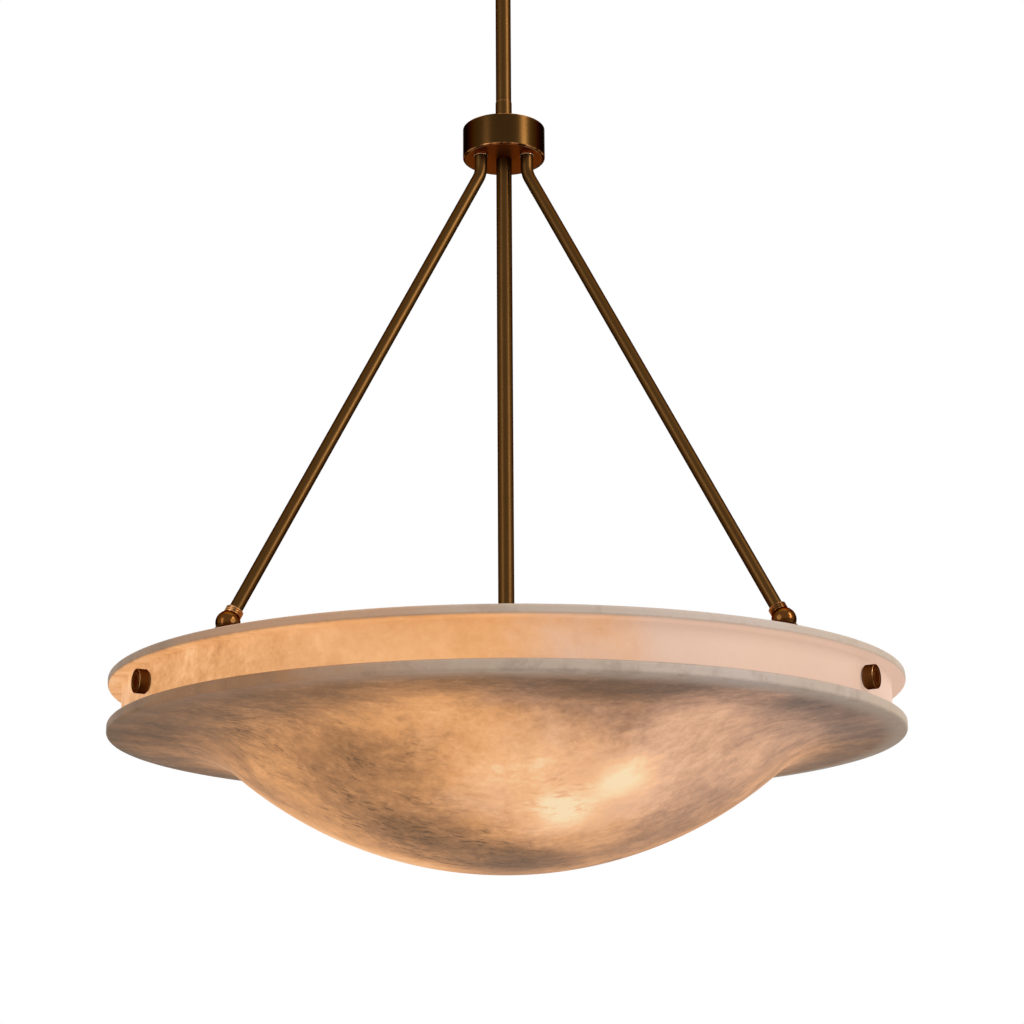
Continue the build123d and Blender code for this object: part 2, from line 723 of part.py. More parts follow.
with BuildPart() as cluster_body:
    with BuildSketch(Plane.XY.offset(cluster_bottom_z)):
        Circle(cluster_radius)
    extrude(amount=cluster_height)
    with BuildSketch(Plane.XY.offset(cluster_top_z)):
        Circle(stem_plug_radius)
    extrude(amount=stem_plug_length)
    with BuildSketch(Plane.XY.offset(cluster_bottom_z)):
        Circle(cluster_radius - cluster_wall)
    extrude(amount=cluster_height - cluster_top_thickness, mode=Mode.SUBTRACT)
    with BuildSketch(Plane.XY.offset(cluster_z)):
        Circle(nipple_bore_radius)
    extrude(amount=cluster_height / 2 + stem_plug_length, mode=Mode.SUBTRACT)
    for angle in lamp_angles:
        with BuildSketch(lamp_plane(angle, lamp_nipple_start)):
            Circle(nipple_hole_radius)
        extrude(amount=cluster_radius, mode=Mode.SUBTRACT)
cluster_body.part.label = "cluster_body"
export_step(cluster_body.part, "parts/cluster_body.step")

with BuildPart() as cluster_cover:
    with BuildSketch(Plane.XY.offset(cluster_bottom_z)):
        Circle(cluster_radius)
    extrude(amount=-cluster_cover_thickness)
    with BuildSketch(Plane.XY.offset(cluster_bottom_z)):
        Circle(cluster_radius - cluster_wall - thread_clearance)
        Circle(cluster_radius - 2 * cluster_wall, mode=Mode.SUBTRACT)
    extrude(amount=cluster_lip_height)
    with BuildSketch(Plane.XY.offset(cluster_bottom_z)):
        Circle(finial_stud_radius + thread_clearance)
    extrude(amount=-cluster_cover_thickness, mode=Mode.SUBTRACT)
cluster_cover.part.label = "cluster_cover"
export_step(cluster_cover.part, "parts/cluster_cover.step")

with BuildPart() as cluster_finial:
    cover_bottom_z = cluster_bottom_z - cluster_cover_thickness
    with BuildSketch(Plane.XY.offset(cover_bottom_z)):
        Circle(finial_stud_radius)
    extrude(amount=cluster_cover_thickness)
    with Locations((0, 0, cover_bottom_z)):
        Sphere(finial_radius)
    split(bisect_by=Plane.XY.offset(cluster_bottom_z), keep=Keep.BOTTOM)
    with BuildSketch(Plane.XY.offset(cover_bottom_z)):
        Circle(2 * finial_radius)
        Circle(finial_stud_radius, mode=Mode.SUBTRACT)
    extrude(amount=finial_radius, mode=Mode.SUBTRACT)
cluster_finial.part.label = "cluster_finial"
export_step(cluster_finial.part, "parts/cluster_finial.step")

# Distances along a lamp's axis from the cluster's centre.
core_start = socket_start + shell_back_thickness
recess_start = core_start + core_back_length
contact_shell_radius = lamp_base_radius + seat_gap + contact_shell_wall
recess_radius = contact_shell_radius + thread_clearance
core_radius = shell_radius - shell_wall - thread_clearance
lamp_start = recess_start + contact_height + seat_gap
lamp_base_start = lamp_start + lamp_tip_height
globe_start = lamp_base_start + lamp_base_length
globe_centre = globe_length - globe_radius

with BuildPart() as socket_nipples:
    for angle in lamp_angles:
        with BuildSketch(lamp_plane(angle, lamp_nipple_start)):
            Circle(nipple_radius)
            Circle(nipple_bore_radius, mode=Mode.SUBTRACT)
        extrude(amount=core_start + lamp_nipple_in_core - lamp_nipple_start)
socket_nipples.part.label = "socket_nipples"
export_step(socket_nipples.part, "parts/socket_nipples.step")

with BuildPart() as socket_cores:
    for angle in lamp_angles:
        with BuildSketch(lamp_plane(angle, core_start)):
            Circle(core_radius)
        extrude(amount=core_back_length + core_ring_length)
        with BuildSketch(lamp_plane(angle, recess_start)):
            Circle(recess_radius)
        extrude(amount=core_ring_length, mode=Mode.SUBTRACT)
        with BuildSketch(lamp_plane(angle, core_start)):
            Circle(nipple_hole_radius)
        extrude(amount=lamp_nipple_in_core, mode=Mode.SUBTRACT)
socket_cores.part.label = "socket_cores"
export_step(socket_cores.part, "parts/socket_cores.step")

# Screw shell and centre contact of each socket.
with BuildPart() as socket_contacts:
    for angle in lamp_angles:
        with BuildSketch(lamp_plane(angle, recess_start)):
            Circle(contact_shell_radius)
            Circle(lamp_base_radius + seat_gap, mode=Mode.SUBTRACT)
            Circle(contact_radius)
        extrude(amount=contact_height)
        with BuildSketch(lamp_plane(angle, recess_start)):
            Circle(contact_shell_radius)
            Circle(lamp_base_radius + seat_gap, mode=Mode.SUBTRACT)
        extrude(amount=core_ring_length)
socket_contacts.part.label = "socket_contacts"
export_step(socket_contacts.part, "parts/socket_contacts.step")


def lamp_globe(angle, shrink):
    """Round lamp glass on a conical neck; shrink draws its whole surface inwards."""
    base = lamp_plane(angle, globe_start)
    neck = globe_neck_radius - shrink
    dome = globe_radius - shrink
    neck_to_centre = globe_centre - globe_neck_length
    swing = atan2(neck, neck_to_centre) + acos(dome / hypot(neck, neck_to_centre))
    cheek = (dome * sin(swing), globe_centre - dome * cos(swing))
    with BuildPart() as globe:
        with BuildSketch(Plane(origin=base.origin, x_dir=base.x_dir, z_dir=-base.y_dir)):
            with BuildLine():
                Polyline((0, 0), (neck, 0), (neck, globe_neck_length), cheek)
                ThreePointArc(cheek, (dome, globe_centre), (0, globe_centre + dome))
                Line((0, globe_centre + dome), (0, 0))
            make_face()
        revolve(axis=Axis(base.origin, base.z_dir))
    return globe.part


for number, angle in enumerate(lamp_angles, start=1):
    with BuildPart() as socket_shell:
        with BuildSketch(lamp_plane(angle, socket_start)):
            Circle(shell_radius)
        extrude(amount=shell_length)
        with BuildSketch(lamp_plane(angle, core_start)):
            Circle(shell_radius - shell_wall)
        extrude(amount=shell_length, mode=Mode.SUBTRACT)
        with BuildSketch(lamp_plane(angle, socket_start)):
            Circle(nipple_hole_radius)
        extrude(amount=shell_back_thickness, mode=Mode.SUBTRACT)
    socket_shell.part.label = f"socket_shell_{number}"
    export_step(socket_shell.part, f"parts/socket_shell_{number}.step")

    with BuildPart() as lamp_base:
        with BuildSketch(lamp_plane(angle, lamp_start)):
            Circle(lamp_tip_radius)
        extrude(amount=lamp_tip_height)
        with BuildSketch(lamp_plane(angle, lamp_base_start)):
            Circle(lamp_base_radius)
        extrude(amount=lamp_base_length)
    lamp_base.part.label = f"lamp_base_{number}"
    export_step(lamp_base.part, f"parts/lamp_base_{number}.step")

    with BuildPart() as lamp_glass:
        add(lamp_globe(angle, 0))
        add(lamp_globe(angle, globe_wall), mode=Mode.SUBTRACT)
        with BuildSketch(lamp_plane(angle, globe_start)):
            Circle(globe_neck_radius)
        extrude(amount=globe_wall)
    lamp_glass.part.label = f"lamp_glass_{number}"
    export_step(lamp_glass.part, f"parts/lamp_glass_{number}.step")
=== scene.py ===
import bmesh
import bpy
import mathutils
import numpy as np
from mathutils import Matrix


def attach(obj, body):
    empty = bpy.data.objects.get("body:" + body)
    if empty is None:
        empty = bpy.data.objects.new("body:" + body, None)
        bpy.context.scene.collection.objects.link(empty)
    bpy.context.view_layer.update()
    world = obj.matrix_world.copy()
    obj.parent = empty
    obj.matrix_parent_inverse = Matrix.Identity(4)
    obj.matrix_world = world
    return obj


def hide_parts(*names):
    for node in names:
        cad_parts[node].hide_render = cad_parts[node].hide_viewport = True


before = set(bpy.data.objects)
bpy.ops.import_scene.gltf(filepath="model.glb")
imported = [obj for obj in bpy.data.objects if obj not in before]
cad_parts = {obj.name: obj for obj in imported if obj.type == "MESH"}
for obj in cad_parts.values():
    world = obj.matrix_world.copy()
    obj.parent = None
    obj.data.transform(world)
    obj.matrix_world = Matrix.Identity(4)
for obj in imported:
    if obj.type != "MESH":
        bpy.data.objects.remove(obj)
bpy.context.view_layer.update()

# ---------------------------------------------------------------- ceiling strap and its fastenings
# A zinc plated steel strap with two slots takes the box screws. A threaded nipple hangs in its
# middle on a hexagon nut and carries the supply cable, and a green screw takes the earth wire.


def node(tree, kind, *inputs, **settings):
    """Adds a shader node. Inputs are (socket, value) pairs, and a value that is a socket gets linked."""
    new = tree.nodes.new(kind)
    for key, value in settings.items():
        setattr(new, key, value)
    for key, value in inputs:
        if isinstance(value, bpy.types.NodeSocket):
            tree.links.new(value, new.inputs[key])
        else:
            new.inputs[key].default_value = value
    return new


def calc(tree, operation, first, second=0.0, third=0.0):
    """One step of arithmetic on values."""
    inputs = ((0, first), (1, second), (2, third))
    return node(tree, "ShaderNodeMath", *inputs, operation=operation).outputs[0]


def stir(tree, base, cloud, share):
    """Adds a share of a cloudy value, counted from its middle of 0.5, to a base value."""
    return calc(tree, "MULTIPLY_ADD", calc(tree, "SUBTRACT", cloud, 0.5), share, base)


def ease(tree, value, start, stop, low=0.0, high=1.0):
    """Runs smoothly from low to high while the value goes from start to stop."""
    inputs = ((0, value), (1, start), (2, stop), (3, low), (4, high))
    return node(tree, "ShaderNodeMapRange", *inputs, interpolation_type="SMOOTHSTEP").outputs[0]


def tint(tree, amount, base, other, blend="MIX"):
    """Blends another colour into a base colour by an amount."""
    inputs = ((0, amount), (6, base), (7, other))
    mix = node(tree, "ShaderNodeMix", *inputs, data_type="RGBA", blend_type=blend, clamp_factor=True)
    return mix.outputs[2]


def noise(tree, where, scale, detail, roughness=0.5):
    """Cloudy values round 0.5 at a number of clouds to the metre."""
    inputs = (("Vector", where), ("Scale", scale), ("Detail", detail), ("Roughness", roughness))
    return node(tree, "ShaderNodeTexNoise", *inputs).outputs["Fac"]


def stretch(tree, where, scale, turn=(0, 0, 0), shift=(0, 0, 0)):
    """Turns and stretches the coordinates of a pattern."""
    inputs = (("Vector", where), ("Location", shift), ("Rotation", np.radians(turn)), ("Scale", scale))
    return node(tree, "ShaderNodeMapping", *inputs).outputs[0]


def effect(name, inputs, outputs):
    """Opens a shader node group with named inputs (socket kind and value) and outputs (socket kind)."""
    tree = bpy.data.node_groups.new(name, "ShaderNodeTree")
    for label, (kind, value) in inputs.items():
        socket = tree.interface.new_socket(label, in_out="INPUT", socket_type="NodeSocket" + kind)
        socket.default_value = value
    for label, kind in outputs.items():
        tree.interface.new_socket(label, in_out="OUTPUT", socket_type="NodeSocket" + kind)
    return tree, tree.nodes.new("NodeGroupInput").outputs, tree.nodes.new("NodeGroupOutput")


def colour(red, green, blue):
    """An opaque colour."""
    return (red, green, blue, 1.0)


# Metal finish: clouds of a deeper tone, fine turning lines, small specks, and wear on the edges, whose bright
# colour also stands for a painted highlight along them.
metal_finish, given, result = effect(
    "metal_finish",
    {
        "Colour": ("Color", colour(0.5, 0.5, 0.5)),
        "Deep colour": ("Color", colour(0.2, 0.2, 0.2)),
        "Wear and highlight colour": ("Color", colour(0.8, 0.8, 0.8)),
        "Roughness": ("Float", 0.3),
        "Line strength": ("Float", 0.5),
    },
    {"Colour": "Color", "Roughness": "Float", "Height": "Float"},
)
where = node(metal_finish, "ShaderNodeTexCoord").outputs["Object"]
clouds = noise(metal_finish, where, 22.0, 6.0, 0.6)
specks = noise(metal_finish, where, 480.0, 2.0)
lines = noise(metal_finish, stretch(metal_finish, where, (40.0, 40.0, 1500.0)), 1.0, 2.0)
# The edge mark, broken up by rubbed noise, blends in the bright edge colour: real wear and a painted highlight
# along the edges.
edge = node(metal_finish, "ShaderNodeAttribute", attribute_name="edge").outputs["Fac"]
rubbed_and_highlit = ease(metal_finish, noise(metal_finish, where, 90.0, 5.0), 0.35, 0.6)
rubbed_and_highlit = calc(metal_finish, "MULTIPLY", edge, rubbed_and_highlit)
clouded = ease(metal_finish, clouds, 0.3, 0.8, 0.0, 0.4)
toned = tint(metal_finish, clouded, given["Colour"], given["Deep colour"])
toned = tint(metal_finish, ease(metal_finish, specks, 0.66, 0.8, 0.0, 0.3), toned, given["Deep colour"])
toned = tint(metal_finish, calc(metal_finish, "MULTIPLY", rubbed_and_highlit, 0.85), toned, given["Wear and highlight colour"])
rough = stir(metal_finish, given["Roughness"], clouds, 0.08)
rough = stir(metal_finish, rough, lines, 0.08)
height = calc(metal_finish, "MULTIPLY", lines, given["Line strength"])
height = calc(metal_finish, "MULTIPLY_ADD", specks, 0.25, height)
metal_finish.links.new(toned, result.inputs["Colour"])
metal_finish.links.new(rough, result.inputs["Roughness"])
metal_finish.links.new(height, result.inputs["Height"])


def metal(name, tone, deep, wear_and_highlight, roughness, lines=0.5, edge_tint=(0.8, 0.8, 0.8), depth=0.00002):
    """A metal with the shared finish in its own tones."""
    material = bpy.data.materials.new(name)
    material.use_nodes = True
    tree = material.node_tree
    shader = tree.nodes["Principled BSDF"]
    shader.inputs["Metallic"].default_value = 1.0
    shader.inputs["Specular Tint"].default_value = colour(*edge_tint)
    finish = node(tree, "ShaderNodeGroup", node_tree=metal_finish)
    finish.inputs["Colour"].default_value = colour(*tone)
    finish.inputs["Deep colour"].default_value = colour(*deep)
    # The edge colour gives both wear and a painted highlight along the edges.
    finish.inputs["Wear and highlight colour"].default_value = colour(*wear_and_highlight)
    finish.inputs["Roughness"].default_value = roughness
    finish.inputs["Line strength"].default_value = lines
    tree.links.new(finish.outputs["Colour"], shader.inputs["Base Color"])
    tree.links.new(finish.outputs["Roughness"], shader.inputs["Roughness"])
    bump = node(tree, "ShaderNodeBump", ("Distance", depth), ("Height", finish.outputs["Height"]))
    tree.links.new(bump.outputs[0], shader.inputs["Normal"])
    return material


# Finish of plain coatings, plastics and rubber: uneven tone, uneven gloss and a fine pebbled skin.
coat_finish, given, result = effect(
    "coat_finish",
    {
        "Colour": ("Color", colour(0.5, 0.5, 0.5)),
        "Deep colour": ("Color", colour(0.4, 0.4, 0.4)),
        "Roughness": ("Float", 0.4),
        "Grain": ("Float", 900.0),
    },
    {"Colour": "Color", "Roughness": "Float", "Height": "Float"},
)
where = node(coat_finish, "ShaderNodeTexCoord").outputs["Object"]
clouds = noise(coat_finish, where, 60.0, 4.0)
grain = noise(coat_finish, where, given["Grain"], 2.0)
toned = tint(coat_finish, ease(coat_finish, clouds, 0.35, 0.7), given["Colour"], given["Deep colour"])
rough = stir(coat_finish, given["Roughness"], clouds, 0.2)
coat_finish.links.new(toned, result.inputs["Colour"])
coat_finish.links.new(rough, result.inputs["Roughness"])
coat_finish.links.new(grain, result.inputs["Height"])


def coating(name, tone, deep, roughness, grain=900.0, depth=0.00003, **fixed):
    """A paint, plastic or rubber with the shared finish in its own tones."""
    material = bpy.data.materials.new(name)
    material.use_nodes = True
    tree = material.node_tree
    shader = tree.nodes["Principled BSDF"]
    for key, value in fixed.items():
        shader.inputs[key.replace("_", " ")].default_value = value
    finish = node(tree, "ShaderNodeGroup", node_tree=coat_finish)
    finish.inputs["Colour"].default_value = colour(*tone)
    finish.inputs["Deep colour"].default_value = colour(*deep)
    finish.inputs["Roughness"].default_value = roughness
    finish.inputs["Grain"].default_value = grain
    tree.links.new(finish.outputs["Colour"], shader.inputs["Base Color"])
    tree.links.new(finish.outputs["Roughness"], shader.inputs["Roughness"])
    bump = node(tree, "ShaderNodeBump", ("Distance", depth), ("Height", finish.outputs["Height"]))
    tree.links.new(bump.outputs[0], shader.inputs["Normal"])
    return material


def dress(name, material):
    """Gives a machined solid its finish and keeps its mesh."""
    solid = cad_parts[name]
    solid.data.materials.clear()
    solid.data.materials.append(material)


def finished(piece, body, slot, material, *stands_for):
    """Gives a new piece its material and its body, and hides the solids that it stands for. The slot is not
    used.
    """
    piece.data.materials.clear()
    piece.data.materials.append(material)
    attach(piece, body)
    if stands_for:
        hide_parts(*stands_for)
    return piece


def softened(name, width):
    """A solid's shape with its sharp edges rolled over: the loose triangles are joined, flat faces are
    melted together, and each edge that turns by more than 35 degrees gets a round bevel."""
    shape = bmesh.new()
    shape.from_mesh(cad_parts[name].data)
    bmesh.ops.remove_doubles(shape, verts=shape.verts, dist=0.000002)
    bmesh.ops.dissolve_limit(shape, angle_limit=np.radians(0.5), verts=shape.verts, edges=shape.edges)
    mesh = bpy.data.meshes.new(name + "_softened")
    shape.to_mesh(mesh)
    shape.free()
    piece = bpy.data.objects.new(name + "_softened", mesh)
    bpy.context.scene.collection.objects.link(piece)
    mesh.shade_smooth()
    bevel = piece.modifiers.new("rolled edges", "BEVEL")
    bevel.width = width
    bevel.segments = 2
    bevel.limit_method = "ANGLE"
    bevel.angle_limit = np.radians(35)
    bevel.harden_normals = True
    return piece


zinc = metal("zinc", (0.36, 0.36, 0.35), (0.24, 0.24, 0.235), (0.55, 0.55, 0.54), 0.42, 0.3)
earth_green = metal("earth_green", (0.03, 0.2, 0.05), (0.015, 0.12, 0.03), (0.4, 0.45, 0.35), 0.35, 0.1)
cable_jacket = coating("cable_jacket", (0.7, 0.68, 0.6), (0.6, 0.57, 0.5), 0.5, 500.0)

finished(softened("crossbar", 0.0003), "ceiling_fixing", "zinc_steel", zinc, "crossbar")
finished(softened("nipple_nut", 0.0004), "ceiling_fixing", "zinc_steel", zinc, "nipple_nut")
finished(softened("ground_screw", 0.0004), "ceiling_fixing", "green_steel", earth_green, "ground_screw")
dress("threaded_nipple", zinc)
dress("feed_cable", cable_jacket)

# ---------------------------------------------------------------- canopy
# A shallow cup spun from thin brass covers the ceiling box. A grooved brass ring, screwed onto the
# swivel's body, holds it up against the ceiling.

millimetre = 0.001
# Edges this sharp or sharper get the full edge mark, which the metals show as wear and as a painted highlight.
full_wear_and_highlight_radius = 1.5


def surface(name, points, edge, loop=False):
    """A closed skin through a grid of points (rows, columns, 3) in metres. Columns run round and meet
    again. Rows meet again too on a loop, and otherwise end in a pole where they shrink to a point."""
    rows, columns = points.shape[:2]
    row = np.arange(rows if loop else rows - 1)[:, None]
    column = np.arange(columns)[None, :]
    below, beside = (row + 1) % rows, (column + 1) % columns
    here, there = row * columns, below * columns
    corners = (here + column, here + beside, there + beside, there + column)
    faces = np.stack(corners, axis=-1).reshape(-1, 4)
    mesh = bpy.data.meshes.new(name)
    mesh.from_pydata(points.reshape(-1, 3), [], faces.tolist())
    mesh.attributes.new("edge", "FLOAT", "POINT").data.foreach_set("value", np.ravel(edge).astype(float))
    shape = bmesh.new()
    shape.from_mesh(mesh)
    bmesh.ops.remove_doubles(shape, verts=shape.verts, dist=0.0000005)
    bmesh.ops.recalc_face_normals(shape, faces=shape.faces)
    shape.to_mesh(mesh)
    shape.free()
    mesh.shade_smooth()
    piece = bpy.data.objects.new(name, mesh)
    bpy.context.scene.collection.objects.link(piece)
    piece.modifiers.new("flat faces stay flat", "WEIGHTED_NORMAL").keep_sharp = True
    return piece


def rounded(corners, loop=True, steps=5):
    """An outline in millimetres as rows of (along, across, edge). Corners are (along, across, radius):
    each is cut back by radius x tan(half its turn) and bridged by an arc, over which edge rises from 0
    and falls again as the sine of half a turn, up to 1 on edges of 1.5 mm or sharper."""
    spots = np.array([c[:2] for c in corners], float)
    radii = np.array([c[2] for c in corners], float)
    before = np.roll(spots, 1, axis=0) - spots
    after = np.roll(spots, -1, axis=0) - spots
    rows = []
    for i in range(len(corners)):
        if radii[i] == 0 or (not loop and i in (0, len(corners) - 1)):
            rows.append([(*spots[i], 0.0)])
            continue
        back = before[i] / np.linalg.norm(before[i])
        on = after[i] / np.linalg.norm(after[i])
        half = np.arccos(np.clip(back @ on, -1, 1)) / 2
        middle = (back + on) / np.linalg.norm(back + on)
        centre = spots[i] + middle * radii[i] / np.sin(half)
        start = spots[i] + back * radii[i] / np.tan(half) - centre
        stop = spots[i] + on * radii[i] / np.tan(half) - centre
        share = np.linspace(0, 1, steps + 1)[:, None]
        sweep = np.pi - 2 * half
        bridge = (start * np.sin((1 - share) * sweep) + stop * np.sin(share * sweep)) / np.sin(sweep)
        wear_and_highlight = np.sin(np.pi * share) * min(1.0, full_wear_and_highlight_radius / radii[i])
        rows.append(np.column_stack((centre + bridge, wear_and_highlight)))
    return np.vstack(rows)


def turned(name, rows, centre=(0, 0, 0), axis=(0, 0, 1), loop=True, segments=96, wave=None):
    """A piece turned on a lathe. A row (along, across, edge) in millimetres becomes the circle
    centre + along x axis + across x (cos t x u + sin t x v), where u and v are square to the axis.
    A wave, if given, changes across into wave(along, across, t)."""
    axis = np.array(axis, float) / np.linalg.norm(axis)
    beside = np.cross(axis, (0, 1, 0) if abs(axis[1]) < 0.9 else (1, 0, 0))
    beside = beside / np.linalg.norm(beside)
    t = np.linspace(0, 2 * np.pi, segments, endpoint=False)[None, :]
    along, across, edge = (column[:, None] for column in np.asarray(rows, float).T)
    if wave:
        across = wave(along, across, t)
    circle = np.cos(t)[..., None] * beside + np.sin(t)[..., None] * np.cross(axis, beside)
    points = np.array(centre, float) + along[..., None] * axis + across[..., None] * circle
    return surface(name, points * millimetre, edge + 0 * t, loop)


aged_brass = metal("aged_brass", (0.042, 0.019, 0.005), (0.032, 0.0135, 0.0035), (0.8, 0.36, 0.14), 0.28, 0.1,
                   (0.2, 0.11, 0.055))

canopy_cup = turned("canopy_cup", rounded([
    (0, 59, 0.3), (0, 65, 0.4), (-30, 65, 20), (-30, 18.3, 0.4), (-28.8, 18.3, 0.4), (-28.8, 63.8, 18.8),
    (-1.2, 63.8, 0.3), (-1.2, 59, 0.3)], steps=14), segments=160)
finished(canopy_cup, "ceiling_fixing", "aged_brass", aged_brass, "canopy")

ring_radius = 24.0
groove_count = 30
groove_radius = 0.8


def grooves(along, across, t):
    """Round grooves cut into the outside of the ring: the radius drops by the root of the groove's
    radius squared less the distance from its middle squared."""
    spacing = 2 * np.pi / groove_count
    off = ring_radius * (np.mod(t + spacing / 2, spacing) - spacing / 2)
    cut = np.sqrt(np.clip(groove_radius**2 - off**2, 0, None))
    return np.where(across > ring_radius - 2, across - cut, across)


ring_rows = rounded([
    (-30, 18.05, 0.2), (-30, ring_radius, 0.6), (-36, ring_radius, 0.6), (-36, 18.05, 0.2)])
canopy_ring_nut = turned("canopy_ring_nut", ring_rows, segments=480, wave=grooves)
finished(canopy_ring_nut, "ceiling_fixing", "aged_brass", aged_brass, "canopy_ring")

# ---------------------------------------------------------------- hang-straight swivel
# A turned brass socket holds a ball between two plastic bearing rings. A fluted cap screws up into
# it from below and keeps the ball in, and the ball's neck carries the stem.

ball_middle = -38.0
flute_count = 48
flute_depth = 0.35


def arc(radius, start, stop, steps=14):
    """Rows on a circle about the ball's middle, from one angle above its equator to another."""
    angle = np.radians(np.linspace(start, stop, steps))
    return np.column_stack((ball_middle + radius * np.sin(angle), radius * np.cos(angle), 0 * angle))


socket_rows = np.vstack((
    rounded([(-12.5, 5.05, 0), (-12.5, 9, 0.6), (-20.5, 9, 1.2), (-20.5, 18, 1.5), (-46, 18, 0.6),
             (-46, 15, 0.2), (ball_middle, 15, 0)], loop=False),
    arc(12.5, 0, 73.7), [(-20.5, 3.5, 0), (-20.5, 5.05, 0)]))
swivel_body = turned("swivel_body", socket_rows)
finished(swivel_body, "ceiling_fixing", "aged_brass", aged_brass, "swivel_socket")


def flutes(along, across, t):
    """Coin edging: the cap's rim dips in round flutes, as depth x sine squared of half the count x t."""
    return np.where(across > 16.6, across - flute_depth * np.sin(flute_count / 2 * t) ** 2, across)


cap_rows = np.vstack((
    arc(12.5, 0, -35.3),
    rounded([(-46, 10.2, 0), (-48.5, 10.2, 0.6), (-48.5, 17.45, 0.7), (-46, 17.45, 0.5), (-46, 14.95, 0),
             (ball_middle, 14.95, 0)], loop=False)))
swivel_fluted_cap = turned("swivel_fluted_cap", cap_rows, segments=384, wave=flutes)
finished(swivel_fluted_cap, "ceiling_fixing", "aged_brass", aged_brass, "swivel_cap")

ball_rows = np.vstack((
    arc(11, 71.4, -63),
    rounded([(-48, 5, 0), (-54, 5, 1), (-54, 7.95, 0.5), (-56, 7.95, 0.2), (-56, 6.4, 0), (-68, 6.4, 0.4),
             (-68, 3.5, 0)], loop=False)))
ball_joint = turned("ball_joint", ball_rows)
finished(ball_joint, "pendant", "aged_brass", aged_brass, "swivel_ball")

bearing_plastic = coating("bearing_plastic", (0.78, 0.76, 0.7), (0.72, 0.69, 0.62), 0.45)
dress("swivel_lower_bearing", bearing_plastic)
dress("swivel_upper_bearing", bearing_plastic)

# ---------------------------------------------------------------- stem and hub
# Straight drawn brass tube hangs from the swivel and ends in a turned coupler that stands on the hub.
# The hub is a turned cup of the same aged brass as the canopy, closed from below by a plate whose coppery red
# is a painted reflection of the bowl's warm glow.

tube_brass = metal("tube_brass", (0.068, 0.031, 0.0085), (0.055, 0.025, 0.006), (0.8, 0.36, 0.14), 0.37, 0.1,
                   (0.2, 0.12, 0.06))
upper_tube = turned("upper_tube", rounded([
    (-56, 6.45, 0.1), (-56, 7.95, 0.35), (-361, 7.95, 0.35), (-361, 6.45, 0.1)], steps=4))
finished(upper_tube, "pendant", "aged_brass", tube_brass, "upper_stem")

coupler = turned("coupler", rounded([
    (-349, 3.5, 0), (-349, 6.4, 0.4), (-361, 6.4, 0), (-361, 8.4, 0.5), (-391, 8.4, 0.3), (-391, 5.05, 0),
    (-379, 5.05, 0), (-379, 3.5, 0)]))
finished(coupler, "pendant", "aged_brass", tube_brass, "stem_coupler")

hub_cup = turned("hub_cup", rounded([
    (-391, 5.05, 0), (-391, 42.1, 1.0), (-424, 42.1, 1.4), (-424, 39.6, 0.3), (-394, 39.6, 0.5),
    (-394, 5.05, 0)]), segments=160)
finished(hub_cup, "pendant", "aged_brass", aged_brass, "hub_shell")

# The plate's coppery red is a painted reflection of the warm glow from the bowl below.
brass_with_painted_warm_reflection = metal("brass_with_painted_warm_reflection", (0.27, 0.095, 0.03), (0.2, 0.066, 0.02), (0.8, 0.36, 0.14), 0.4, 0.1,
                     (0.4, 0.2, 0.1))
hub_plate = turned("hub_plate", rounded([
    (-420, 5.05, 0), (-420, 39.5, 0.2), (-424, 39.5, 0.5), (-424, 5.05, 0)]), segments=160)
finished(hub_plate, "pendant", "aged_brass", brass_with_painted_warm_reflection, "hub_base")

for name in ("hub_nipple", "hub_nuts", "arm_nuts"):
    dress(name, zinc)

# ---------------------------------------------------------------- arms
# Three half-inch brass tubes come straight down through the hub's plate, each in a thin collar whose pale
# colour is partly polished brass and partly a painted highlight, and bend outwards to run down to the bowl's
# rim.

arm_azimuths = (210.0, 330.0, 90.0)
root_radius = 27.0
bend_z = -445.0
bend_radius = 30
foot_radius = 292.3
foot_z = -939.0
collar_start = 8.5
run = np.array((foot_radius - root_radius, foot_z - bend_z))
run = run / np.linalg.norm(run)
bright_brass = metal("bright_brass", (0.1, 0.037, 0.009), (0.075, 0.027, 0.006), (0.9, 0.5, 0.22), 0.2, 0.1,
                     (0.4, 0.22, 0.1))
# The collars' pale brass is partly polished metal and partly a painted highlight.
polished_and_highlit_collar_brass = metal("polished_and_highlit_collar_brass", (0.5, 0.31, 0.18), (0.4, 0.24, 0.13), (0.9, 0.62, 0.38), 0.2, 0.1)


def outwards(azimuth):
    """Direction from the middle towards an arm or a lamp."""
    return np.array((np.cos(np.radians(azimuth)), np.sin(np.radians(azimuth)), 0.0))


def bent_tube(name, route, azimuth, outer, inner):
    """A tube carried along a flat route of (radius, height) in millimetres. At each step the section
    is a circle square to the route's direction, on the outside going down and inside coming back."""
    side = np.cross((0, 0, 1), outwards(azimuth))
    line = route[:, :1] * outwards(azimuth) + route[:, 1:2] * np.array((0, 0, 1.0))
    ahead = np.gradient(line, axis=0)
    ahead = ahead / np.linalg.norm(ahead, axis=1, keepdims=True)
    square = np.cross(ahead, side)
    t = np.linspace(0, 2 * np.pi, 48, endpoint=False)[None, :, None]
    circle = np.cos(t) * side + np.sin(t) * square[:, None, :]
    points = np.vstack((line[:, None, :] + outer * circle, line[::-1, None, :] + inner * circle[::-1]))
    return surface(name, points * millimetre, np.zeros(points.shape[:2]), loop=True)


end = np.array((foot_radius, foot_z)) - run * collar_start
route = [(root_radius, -414, 0), (root_radius, bend_z, bend_radius), (*end, 0)]
route = rounded(route, loop=False, steps=24)[:, :2]

